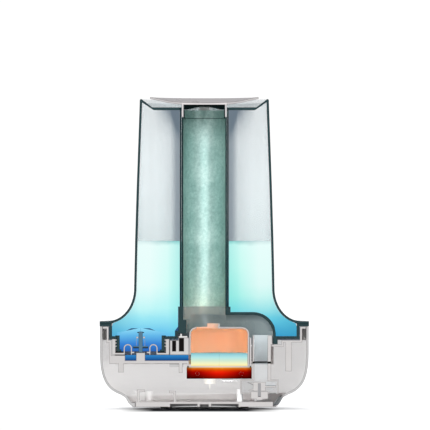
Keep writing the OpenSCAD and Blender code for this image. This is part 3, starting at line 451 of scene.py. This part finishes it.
def carve(obj, cutters):
    """Cuts the cutters out of obj, welds what the cut leaves almost touching, and drops the cutters."""
    for cutter in cutters:
        scene.collection.objects.link(cutter)
        mod = obj.modifiers.new("cut", "BOOLEAN")
        mod.operation, mod.object, mod.solver = "DIFFERENCE", cutter, "EXACT"
    bpy.context.view_layer.update()
    done = bpy.data.meshes.new_from_object(obj.evaluated_get(bpy.context.evaluated_depsgraph_get()))
    obj.modifiers.clear()
    bm = bmesh.new()
    bm.from_mesh(done)
    bmesh.ops.remove_doubles(bm, verts=bm.verts, dist=0.02 * MM)
    bmesh.ops.dissolve_degenerate(bm, edges=bm.edges, dist=0.01 * MM)
    bm.to_mesh(done)
    bm.free()
    obj.data = done
    for cutter in cutters:
        bpy.data.objects.remove(cutter)


# ---------------------------------------------------------------- water in the tank
SHELL, SKIRT = tree_of("tank_shell"), tree_of("tank_floor")
FLOOR_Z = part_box("tank_floor")[0].z + 2.8 * MM
WELD_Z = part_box("tank_shell")[0].z      # where the shell stands on the tank's floor
GAP = 0.4 * MM                          # between the water and what holds it
AXIS_R = 0.1 * MM                       # hole left along the axis of a turned solid


def wall_at(z):
    """Inner radius of the tank at a height."""
    tree = SHELL if z > WELD_Z + 0.4 * MM else SKIRT
    return tree.ray_cast(Vector((0, FLUE_R + 2 * MM, z)), Vector((0, 1, 0)))[0].y


def tank_profile():
    """The water's section beside the flue: up the tank's wall, then over a slight meniscus at the top."""
    heights = [FLOOR_Z + 0.3 * MM, WELD_Z - 3.4 * MM, WELD_Z + 0.6 * MM]
    heights += [WELD_Z + (4 + 4 * i) * MM for i in range(11)] + [0.170, 0.195, FILL_Z - 0.5 * MM]
    return [(FLUE_R + GAP, heights[0]), *((wall_at(z) - GAP, z) for z in heights),
            (wall_at(FILL_Z) - 0.9 * MM, FILL_Z), (FLUE_R + 1.0 * MM, FILL_Z),
            (FLUE_R + GAP, FILL_Z - 0.5 * MM)]


def dome_cutter():
    """A hull a little outside the lower part of the mixing dome, carried down through the tank's floor."""
    shoulder_z, foot_z, below_z, middle_x = 0.1247, 0.100, 0.070, 0.02
    dome = bmesh.new()
    for v in nodes["mixing_dome"].data.vertices:
        if v.co.z < shoulder_z:
            outward = Vector((v.co.x - middle_x, v.co.y, 0)).normalized()
            dome.verts.new(v.co + outward * GAP + Vector((0, 0, 0.3 * MM)))
    bmesh.ops.convex_hull(dome, input=dome.verts)
    for v in [v for v in dome.verts if not v.link_faces]:
        dome.verts.remove(v)
    for v in dome.verts:
        if v.co.z < foot_z:
            v.co.z = below_z
    return mesh_object("cut_dome", dome)


def collar_cutter():
    """The dome's round collar, where the flue stands on it."""
    collar_r, below_z, top_z = 0.0337, 0.07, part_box("mixing_dome")[1].z + 0.3 * MM
    profile = [(AXIS_R, below_z), (collar_r, below_z), (collar_r, top_z), (AXIS_R, top_z)]
    return mesh_object("cut_collar", revolve(profile))


NECK_WATER_R = 0.0302
NECK_RIM_Z = 0.0955


def neck_cutter():
    """The inside of the neck, with the top of the valve."""
    below_z, valve_r, top_z = 0.07, 0.012, 0.104
    profile = [(AXIS_R, below_z), (NECK_WATER_R, below_z), (NECK_WATER_R, NECK_RIM_Z), (valve_r, top_z),
               (AXIS_R, top_z)]
    return mesh_object("cut_neck", revolve(profile, NECK_X))


tank_water = mesh_object("tank_water", revolve(tank_profile(), steps=128))
scene.collection.objects.link(tank_water)
carve(tank_water, [dome_cutter(), collar_cutter(), neck_cutter()])
scene.collection.objects.unlink(tank_water)
WATER_STOPS = [(0.0, "#1c6fc4"), (0.14, "#2f97da"), (0.3, "#63cdec"), (0.6, "#93eef5"), (1.0, "#b4fbf6")]
link(tank_water, "tank", water("tank_water", WATER_STOPS, 0.094, FILL_Z, 0.5))


# ---------------------------------------------------------------- water in the tray
POOL_LOW_Z = TRAY_FLOOR_Z + 0.3 * MM
CHANNEL_FROM_X, CHANNEL_TO_X, CHANNEL_HALF_W = -0.0655, -0.0203, 0.0117


def pool_solid(r, inner_r, low_z, top_z, centre_x):
    """A round pool with a slightly rounded top edge."""
    profile = [(inner_r, low_z), (r, low_z), (r, top_z - GAP), (r - GAP, top_z), (inner_r, top_z)]
    return revolve(profile, centre_x)


def channel_solid():
    bm = bmesh.new()
    bmesh.ops.create_cube(bm, size=1.0)
    for v in bm.verts:
        v.co = Vector((CHANNEL_TO_X if v.co.x > 0 else CHANNEL_FROM_X,
                       CHANNEL_HALF_W if v.co.y > 0 else -CHANNEL_HALF_W,
                       POOL_Z if v.co.z > 0 else POOL_LOW_Z))
    bmesh.ops.bevel(bm, geom=bm.edges[:], offset=GAP, segments=2, affect="EDGES")
    return bm


pool = water("tray_water", [(0.0, "#2468b4"), (1.0, "#3f9bd8")], TRAY_FLOOR_Z, 0.0700, 0.6)
link(mesh_object("channel_water", channel_solid(), False), "base", pool)
sump = pool_solid(0.0197, 0.0060, POOL_LOW_Z, POOL_Z, NECK_X)
link(mesh_object("sump_water", sump), "base", pool)
# The warm yellow at the bottom of the boiler's water is painted glow from the heater under it.
BOIL_STOPS = [(0.0, "#f6e2b0"), (0.35, "#bfe3dc"), (0.8, "#63bfdc"), (1.0, "#4fb0d2")]
boil = water("boiler_water", BOIL_STOPS, 0.0560, BOIL_Z, 0.6)
boiling = pool_solid(0.0361, AXIS_R, BOILER_FLOOR_Z + 0.3 * MM, BOIL_Z, BOILER_X)
link(mesh_object("boiler_water", boiling), "base", boil)


# ---------------------------------------------------------------- colours of the section
# What the near plane cuts open is closed with flat faces, in the colours of a printed section.
def cap_material(name, colour_of):
    t = Tree(name)
    t.straight_look(colour_of(t))
    return t.material


def flat(colour, vary=0.04):
    """One colour, slightly uneven."""
    base = linear(colour)
    return lambda t: t.mix(t.span(t.noise(30.0, 4.0), 0.3, 0.7), shade(base, 1 - vary), shade(base, 1 + vary))


def waved(t, low, high, amount=0.1):
    """Height from low to high as 0 to 1, with slow waves in it."""
    wave = t.math("MULTIPLY", t.math("SUBTRACT", t.noise(42.0, 5.0, 0.6), 0.5), amount)
    return t.math("ADD", t.span(t.axis("Z"), low, high), wave)


def pool_colour(stops, low, high):
    return lambda t: t.ramp(waved(t, low, high), stops)


def heat_colour(t):
    """Painted glow of the heater's section: red below and orange above, darker to the sides, with a dark rim.
    """
    height = t.span(t.axis("Z"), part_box("heater_insulator")[0].z, PLATE_TOP_Z)
    fac = t.math("ADD", height, t.math("MULTIPLY", t.math("SUBTRACT", t.noise(180.0, 4.0), 0.5), 0.08))
    middle = t.ramp(fac, [(0.0, "#6e140d"), (0.18, "#a91302"), (0.42, "#dc1503"), (0.58, "#f0260b"),
                          (0.72, "#e63e06"), (0.86, "#e06c10"), (0.98, "#e2a548"), (1.0, "#d9a04a")])
    side = t.ramp(fac, [(0.0, "#2a0103"), (0.18, "#5a0500"), (0.42, "#880302"), (0.58, "#9a0500"),
                        (0.72, "#bd2200"), (0.86, "#d6560e"), (0.98, "#c48d45"), (1.0, "#b98a45")])
    away = t.math("ABSOLUTE", t.from_x(BOILER_X))
    painted_glow = t.mix(t.span(away, 0.004, 0.026), middle, side)
    return t.mix(t.span(away, 0.034, 0.0417, 0.0, 0.7), painted_glow, linear("#1d0202"))


def tank_water_colour(t):
    """Pale at the top and deeper lower down, with painted light and shade: lighter on the left than on the
    right, a painted highlight in a pale upright band, and painted shade beside the flue and towards the wall.
    """
    fac = waved(t, 0.076, FILL_Z, 0.06)
    # Painted light and shade: the left ramp is the lit side, the right ramp the shaded side.
    left = t.ramp(fac, [(0.0, "#4b98dc"), (0.10, "#5fb2e8"), (0.18, "#74cdf0"), (0.28, "#98e6f5"),
                        (0.38, "#b5f6f7"), (0.6, "#cdfdf7"), (0.96, "#d8fdf8"), (0.98, "#bbe6e4"),
                        (1.0, "#93cbcb")])
    right = t.ramp(fac, [(0.0, "#2f8cbd"), (0.14, "#3fa2d0"), (0.26, "#62c8e4"), (0.38, "#84e0e6"),
                         (0.5, "#a6f2ea"), (0.75, "#c4fbf2"), (0.96, "#cffcf5"), (0.98, "#aee2dd"),
                         (1.0, "#8cc5c4")])
    colour = t.mix(t.span(t.axis("X"), -0.01, 0.01), left, right)
    away = t.math("ABSOLUTE", t.axis("X"))
    painted_highlight = t.math("MULTIPLY", t.span(away, 0.042, 0.070, 0.0, 0.6), t.span(fac, 0.3, 0.6))
    colour = t.mix(painted_highlight, colour, linear("#f6ffff"))
    shade_by_flue = t.mix(0.5, colour, linear("#5fd8d4"))
    colour = t.mix(t.span(away, FLUE_R, 0.047, 0.75, 0.0), colour, shade_by_flue)
    # Painted shade towards the tank's wall.
    return t.mix(t.span(away, 0.083, 0.119, 0.0, 0.5), colour, linear("#3f9fc0"))


def lid_colour(t):
    """Lower disc paler, with a dark line where the upper disc sits on it."""
    seam_z, disc_r = 0.3949, 0.0285
    z, middle = t.axis("Z"), t.math("LESS_THAN", t.math("ABSOLUTE", t.axis("X")), disc_r)
    from_seam = t.math("ABSOLUTE", t.math("SUBTRACT", z, seam_z))
    seam = t.math("MULTIPLY", t.span(from_seam, 0.3 * MM, 1.0 * MM, 1.0, 0.0), middle)
    low = t.math("MULTIPLY", t.span(z, seam_z - 0.9 * MM, seam_z, 1.0, 0.0), middle)
    colour = t.mix(low, flat("#c9c6c6")(t), linear("#e9e4e4"))
    return t.mix(seam, colour, linear("#4d5150"))


POOL_CUT = [(0.0, "#17437f"), (0.6, "#2a78bd"), (1.0, "#3f8fcb")]
NECK_CUT = [(0.0, "#2a62b4"), (0.35, "#3b85d6"), (0.7, "#64b8ea"), (1.0, "#8edcf8")]
# The warm yellow at the bottom is painted glow from the heater under the water.
BOIL_CUT = [(0.0, "#ffe997"), (0.2, "#f4f5c6"), (0.42, "#d2ebd2"), (0.65, "#b6e8e6"), (0.85, "#9ad4dc"),
            (0.99, "#84bfc6"), (1.0, "#5f9ea8")]
# Each kind of section face: its colour, the colour of the line that rims it, and the pieces it closes.
CUTS = {
    "smoke": (flat("#33474a", 0.12), "#16272a", "tank_shell tank_floor tank_neck mixing_dome"),
    "tube": (flat("#12252a", 0.15), None, "flue_tube"),
    "housing": (flat("#c6c5c5"), "#8e8c8c", "base_housing"),
    "lid": (lid_colour, "#8b8486", "mist_cap"),
    "sleeve": (flat("#1c2f31", 0.12), None, "flue_sleeve sleeve_ring"),
    "black": (flat("#1a1716", 0.1), None, "thermal_breaks boiler_gasket duct_gasket cap_gasket valve_seal "
                                          "valve_clip rubber_feet reed_switch"),
    "steel": (flat("#a3a3a6"), None, "fan_shaft valve_spring fan_screws thermal_fuse"),
    "white": (flat("#f1f0ee"), "#a5a1a0", "chimney_seat float thermostat"),
    "valve": (flat("#5b7d94"), "#334b5d", "valve_plunger"),
    "heat": (heat_colour, None, "heater_plate heater_block heating_element heater_insulator"),
    "tank_water": (tank_water_colour, None, "tank_water"),
    "pool": (pool_colour(POOL_CUT, TRAY_FLOOR_Z, 0.071), None, "channel_water sump_water"),
    "boil": (pool_colour(BOIL_CUT, BOILER_FLOOR_Z, BOIL_Z), None, "boiler_water"),
    "light": (flat("#d3d0cf"), "#989494", ""),      # every node not named above
}
cap_of, line_of = {}, {}
for kind, (colour_of, line_colour, names) in CUTS.items():
    cap = cap_material("cap_" + kind, colour_of)
    line = cap_material("line_" + kind, flat(line_colour, 0.03)) if line_colour else None
    for name in names.split() or [name for name in nodes if name not in cap_of]:
        cap_of[name], line_of[name] = cap, line


# ---------------------------------------------------------------- section faces
CAP_Y = CUT_Y + 0.03 * MM
LINE_W = 0.42 * MM
LINE_FRONT = 0.008 * MM
WATER_BEHIND = 0.25 * MM
TURNING = {"tank_cap", "valve", "fan"}      # bodies that turn about an upright axis in the cut


def area(loop):
    return sum(p[0] * q[1] - q[0] * p[1] for p, q in zip(loop, loop[1:] + loop[:1])) / 2


def holds(loop, point):
    """Whether a closed outline goes round a point."""
    inside = False
    for (x0, z0), (x1, z1) in zip(loop, loop[1:] + loop[:1]):
        if (z0 > point[1]) != (z1 > point[1]) and point[0] < x0 + (point[1] - z0) * (x1 - x0) / (z1 - z0):
            inside = not inside
    return inside


def closed_paths(bm):
    """The closed paths among a mesh's edges, as lists of (x, z)."""
    found, unused = [], set(bm.edges)
    for first in list(bm.edges):
        if first not in unused:
            continue
        unused.discard(first)
        path, at = [first.verts[0]], first.verts[1]
        while at is not path[0]:
            path.append(at)
            onward = next((e for e in at.link_edges if e in unused), None)
            if onward is None:
                break
            unused.discard(onward)
            at = onward.other_vert(at)
        if at is path[0] and len(path) > 2:
            found.append([(v.co.x, v.co.z) for v in path])
    return found


def outlines_at_cut(obj):
    """The closed outlines where the cut meets one piece, as lists of (x, z), with the solid on their left."""
    same = 2e-6
    bm = bmesh.new()
    bm.from_mesh(obj.data)
    bmesh.ops.remove_doubles(bm, verts=bm.verts, dist=same)
    bmesh.ops.bisect_plane(bm, geom=bm.verts[:] + bm.edges[:] + bm.faces[:], dist=1e-8,
                           plane_co=(0, CAP_Y, 0), plane_no=(0, 1, 0), clear_inner=True, clear_outer=True)
    bmesh.ops.remove_doubles(bm, verts=bm.verts, dist=same)
    found = closed_paths(bm)
    bm.free()
    turned = []
    for loop in found:
        hole = sum(holds(other, loop[0]) for other in found if other is not loop) % 2 == 1
        turned.append(loop if (area(loop) > 0) != hole else loop[::-1])
    return [loop for loop in turned if abs(area(loop)) > 1e-9]


def filled(outlines):
    """Triangles that fill the outlines, holes left open."""
    corners, edges = [], []
    for loop in outlines:
        start = len(corners)
        corners += [Vector(p) for p in loop]
        edges += [(start + i, start + (i + 1) % len(loop)) for i in range(len(loop))]
    spots, _, triangles, *_ = delaunay_2d_cdt(corners, edges, [], 0, 1e-7)
    kept = []
    for triangle in triangles:
        points = [tuple(spots[i]) for i in triangle]
        middle = [sum(p[k] for p in points) / 3 for k in (0, 1)]
        if sum(holds(loop, middle) for loop in outlines) % 2:
            kept.append(points)
    return kept


def ribbon(outline, width):
    """Quads of a line of that width just inside a closed outline."""
    points = [Vector(p) for p in outline]
    points = [p for i, p in enumerate(points) if (p - points[i - 1]).length > 0.02 * MM]
    n, inner = len(points), []
    for i, p in enumerate(points):
        before, after = (p - points[i - 1]).normalized(), (points[(i + 1) % n] - p).normalized()
        left = Vector((-before.y, before.x)) + Vector((-after.y, after.x))
        length = left.length
        if length < 0.3:
            left, length = Vector((-after.y, after.x)), 1.0
        inner.append(p + left / length * width * min(2.0, 2.0 / max(length, 1.0)))
    return [(points[i], points[(i + 1) % n], inner[(i + 1) % n], inner[i]) for i in range(n)]


def flat_object(name, faces, y, body, material):
    """Flat faces across the view at depth y, for the picture alone: nothing but a camera ray meets them."""
    bm = bmesh.new()
    for face in faces:
        bm.faces.new([bm.verts.new((p[0], y, p[1])) for p in face])
    obj = mesh_object(name, bm, False)
    obj.data.materials.append(material)
    scene.collection.objects.link(obj)
    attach(obj, body)
    obj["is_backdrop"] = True
    for ray in ("diffuse", "glossy", "transmission", "volume_scatter", "shadow"):
        setattr(obj, "visible_" + ray, False)


def section(obj, depth=0.0):
    """Closes the cut through one piece with flat faces, and rims them with a line where the kind has one."""
    outlines = outlines_at_cut(obj)
    if not outlines:
        return
    body, cap, line = body_of(obj)[0], cap_of[obj.name], line_of[obj.name]
    faces = filled(outlines)
    strips = [quad for outline in outlines for quad in ribbon(outline, LINE_W)]
    # The second set of faces, before the cut, comes round into the view at half a turn.
    for mark, side in (("", 1), ("_turned", -1))[:2 if body in TURNING else 1]:
        flat_object(f"section_{obj.name}{mark}", faces, side * (CAP_Y + depth), body, cap)
        if line:
            flat_object(f"rim_{obj.name}{mark}", strips, side * (CAP_Y + depth - LINE_FRONT), body, line)


def section_neck_water():
    """The water in the neck has no piece of its own, so its face is drawn from the neck's inside."""
    inner_r, low_z, step_z, shoulder_z, top_z = 0.0268, 0.0745, 0.0905, 0.0985, 0.1045
    right = [(inner_r, low_z), (inner_r, step_z), (NECK_WATER_R, step_z), (NECK_WATER_R, shoulder_z)]
    outline = [(NECK_X + x, z) for x, z in right] + [(NECK_X, top_z)]
    outline += [(NECK_X - x, z) for x, z in right[::-1]]
    neck = cap_material("cap_neck", pool_colour(NECK_CUT, 0.074, 0.1035))
    flat_object("section_neck_water", [outline], CAP_Y + WATER_BEHIND, "tank", neck)


for name in sorted(nodes):
    section(nodes[name])
for name in ("tank_water", "channel_water", "sump_water", "boiler_water"):
    section(bpy.data.objects[name], WATER_BEHIND)
section_neck_water()


# ---------------------------------------------------------------- shading behind the cut
SHADING_BEHIND = 0.35 * MM
BESIDE_FLUE_X = 0.0313


def shading(name, colour, outline, body, strength_of, depth=SHADING_BEHIND):
    """A see-through plane just behind the cut, which lays painted shade (painted light in the base) over what
    the camera sees behind it.
    """
    t = Tree(name)
    t.straight_look(linear(colour), strength_of(t))
    flat_object(name, [outline], CAP_Y + depth, body, t.material)


def block(left, right, low, high):
    return [(left, low), (right, low), (right, high), (left, high)]


def tank_painted_shade(t):
    """Painted shade beside the flue and under the dish, and a little at the wall."""
    away = t.math("ABSOLUTE", t.axis("X"))
    shade_by_flue = t.ramp(t.span(away, BESIDE_FLUE_X, 0.0613),
                     [(0.0, 0.85), (0.17, 0.72), (0.4, 0.2), (0.65, 0.09), (1.0, 0.0)])
    near_dish = t.math("POWER", t.span(t.axis("Z"), 0.338, 0.384), 2.0)
    under_dish = t.math("MULTIPLY", near_dish, t.span(away, 0.033, 0.066, 1.2, 0.0))
    return t.math("ADD", shade_by_flue, t.math("ADD", t.span(away, 0.076, 0.087, 0.0, 0.2), under_dish), True)


def chamber_air(t):
    """Painted shade in the chamber's rounded corner over the duct."""
    corner_x, corner_z = 0.068, 0.100
    past = t.math("MAXIMUM", t.from_x(corner_x), 0.0)
    above = t.math("SUBTRACT", t.axis("Z"), corner_z)
    return t.span(t.length(past, above), 0.0125, 0.0217, 0.0, 0.7)


def cap_air(t):
    """The painted shadow under the mist cap, with a curved lower edge."""
    x, z = t.axis("X"), t.axis("Z")
    lip = t.math("SUBTRACT", z, t.math("MULTIPLY", t.math("MULTIPLY", x, x), -8.0))
    return t.span(lip, 0.3862, 0.3878, 0.0, 1.0)


def base_air(t):
    """Painted light over the inside of the base, as a printed section shows it, with less of it low down, so
    the bottom reads as painted shade.
    """
    light = t.span(t.noise(16.0, 3.0), 0.3, 0.7, 0.58, 0.64)
    return t.math("ADD", light, t.span(t.axis("Z"), 0.012, 0.030, -0.15, 0.0))


def contact(t):
    """The near plane also cuts the floor off, so the shadow under the base stands in the plane of the cut."""
    reach = t.math("ABSOLUTE", t.from_x(-0.005))
    return t.math("MULTIPLY", t.span(reach, 0.060, 0.104, 1.0, 0.0), t.span(t.axis("Z"), -0.0034, -0.0017))


LID, CASING = tree_of("mist_cap"), tree_of("base_housing")
BESIDE_Y = 0.4 * MM     # rays start a little beside the cut, clear of the edges in it


def lid_middle():
    """Height half way through the lid on the flue's axis."""
    under = LID.ray_cast(Vector((0, BESIDE_Y, 0.380)), Vector((0, 0, 1)))[0].z
    over = LID.ray_cast(Vector((0, BESIDE_Y, 0.420)), Vector((0, 0, -1)))[0].z
    return (under + over) / 2


def casing_at(z, side):
    """Half way into the casing's wall at a height, on one side."""
    return CASING.ray_cast(Vector((side * 0.30, BESIDE_Y, z)), Vector((-side, 0, 0)))[0].x - side * 1.2 * MM


def base_outline():
    """The hollow of the base: up the right wall, under the tray and down the left wall."""
    under_tray_z, tray_right, tray_left = 0.058, 0.0886, -0.1145
    levels = [0.0125 + 0.0045 * i for i in range(18)]
    under_tray = [(tray_right, levels[-1]), (tray_right, under_tray_z), (tray_left, under_tray_z),
                  (tray_left, levels[-1])]
    right_wall = [(casing_at(z, 1), z) for z in levels]
    return right_wall + under_tray + [(casing_at(z, -1), z) for z in levels[::-1]]


# Painted shade in the tank, the chamber and under the mist cap; painted light in the base; a painted shadow
# under the base.
for side in (-1, 1):
    tank_outline = [(BESIDE_FLUE_X, FILL_Z), (wall_at(FILL_Z) + 0.2 * MM, FILL_Z), (0.0802, 0.3925),
                    (0.0672, DISH_Z), (BESIDE_FLUE_X, DISH_Z)]
    shading(f"air_{side + 1}", "#6d7b87", [(side * x, z) for x, z in tank_outline], "tank", tank_painted_shade)
shading("chamber_air", "#2c4144", block(0.028, 0.091, 0.1005, 0.1225), "tank", chamber_air)
shading("cap_air", "#0b1415", block(-0.0262, 0.0262, 0.3840, lid_middle()), "mist_cap", cap_air)
shading("base_air", "#f1f0f0", base_outline(), "base", base_air)
shading("contact_shadow", "#15171c", block(-0.115, 0.105, -0.0035, 0.0), "base", contact, 0.0)


# ---------------------------------------------------------------- studio
def floor_material():
    """Pale floor, whitened for the camera alone by painted light away from the object; near the base there is
    none, so the shade there stays dark.
    """
    t = Tree("floor")
    tone = t.span(t.noise(3.0, 3.0), 0.3, 0.7)
    away = t.length(t.axis("X"), t.axis("Y"))
    seen = t.add("LightPath").outputs["Is Camera Ray"]
    painted_floor_light = t.math("MULTIPLY", t.span(away, 0.085, 0.16, 0.0, 0.75), seen)
    t.principled(Base_Color=t.mix(tone, linear("#f4f4f4"), linear("#f8f8f8")), Roughness=0.6,
                 Emission_Color=(1, 1, 1, 1), Emission_Strength=painted_floor_light)
    return t.material


ground = bmesh.new()
bmesh.ops.create_grid(ground, x_segments=1, y_segments=1, size=12.0)
floor = mesh_object("floor", ground, False)
floor.data.materials.append(floor_material())
scene.collection.objects.link(floor)
floor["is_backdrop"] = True


def studio_world():
    """White behind the object, and a dimmer light from all round it."""
    world = bpy.data.worlds.new("world")
    world.use_nodes = True
    tree = world.node_tree
    tree.nodes.clear()
    kinds = ("OutputWorld", "Background", "Background", "MixShader", "LightPath")
    out, to_camera, to_rest, mix, path = (tree.nodes.new("ShaderNode" + kind) for kind in kinds)
    backgrounds = ((to_camera, (1, 1, 1, 1), 1.05), (to_rest, (0.95, 0.97, 1, 1), 0.45))
    for background, colour, strength in backgrounds:
        background.inputs["Color"].default_value = colour
        background.inputs["Strength"].default_value = strength
    tree.links.new(path.outputs["Is Camera Ray"], mix.inputs[0])
    tree.links.new(to_rest.outputs[0], mix.inputs[1])
    tree.links.new(to_camera.outputs[0], mix.inputs[2])
    tree.links.new(mix.outputs[0], out.inputs["Surface"])
    return world


scene.world = studio_world()
lit_by_fill = bpy.data.collections.new("lit_by_fill")
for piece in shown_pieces():
    lit_by_fill.objects.link(piece)


def light(kind, name, place, power, colour, **settings):
    data = bpy.data.lights.new(name, kind)
    data.energy, data.color = power, colour
    for key, value in settings.items():
        setattr(data, key, value)
    obj = bpy.data.objects.new(name, data)
    obj.location = place
    obj.visible_camera = False
    scene.collection.objects.link(obj)
    return obj


def lamp(name, place, size, power, shadow=True):
    """A round soft lamp turned to the object. Without shadow it lights the pieces alone, not the floor."""
    target = Vector((0, 0, 0.18))
    obj = light("AREA", name, place, power, (1, 1, 1), shape="DISK", size=size, use_shadow=shadow)
    obj.rotation_euler = (target - Vector(place)).to_track_quat("-Z", "Y").to_euler()
    if not shadow:
        obj.light_linking.receiver_collection = lit_by_fill


def inner_lamp(name, place, power, colour, size):
    """A small lamp inside a closed part, so that it lights mostly the inside."""
    light("POINT", name, place, power, colour, shadow_soft_size=size)


def inner_strip(name, place, wide, high, power, colour):
    """A flat lamp inside a closed part, facing the half that the section leaves standing."""
    strip = light("AREA", name, place, power, colour, shape="RECTANGLE", size=wide, size_y=high)
    strip.rotation_euler = (math.radians(90), 0, 0)


lamp("key", (-1.3, -1.5, 1.9), 1.2, 20)
lamp("rim", (1.5, 1.3, 1.6), 1.0, 9)
lamp("fill_left", (-1.4, -2.2, 0.5), 0.8, 5, shadow=False)
lamp("fill_right", (1.6, -2.0, 0.7), 0.8, 3.5, shadow=False)
inner_lamp("heat_high", (BOILER_X, -0.010, 0.088), 0.021, (1.0, 0.19, 0.03), 0.008)
inner_lamp("heat_low", (BOILER_X, -0.010, 0.066), 0.017, (1.0, 0.55, 0.16), 0.008)
inner_strip("inside_base", (0.0, -0.092, 0.036), 0.14, 0.03, 0.17, (1.0, 0.99, 0.98))
inner_lamp("inside_fan", (0.083, -0.014, 0.030), 0.02, (0.9, 0.97, 1.0), 0.006)
inner_lamp("inside_dome", (0.072, -0.018, 0.108), 0.028, (0.92, 0.98, 1.0), 0.012)
for side in (-1, 1):
    inner_strip(f"inside_tank_{side + 1}", (side * 0.058, -0.040, 0.300), 0.035, 0.14, 0.085, (1, 1, 1))
inner_strip("inside_sleeve", (0, -0.021, 0.250), 0.028, 0.22, 0.034, (0.95, 1.0, 1.0))
inner_lamp("inside_flue", (0.004, -0.019, 0.128), 0.014, (1.0, 0.93, 0.76), 0.012)
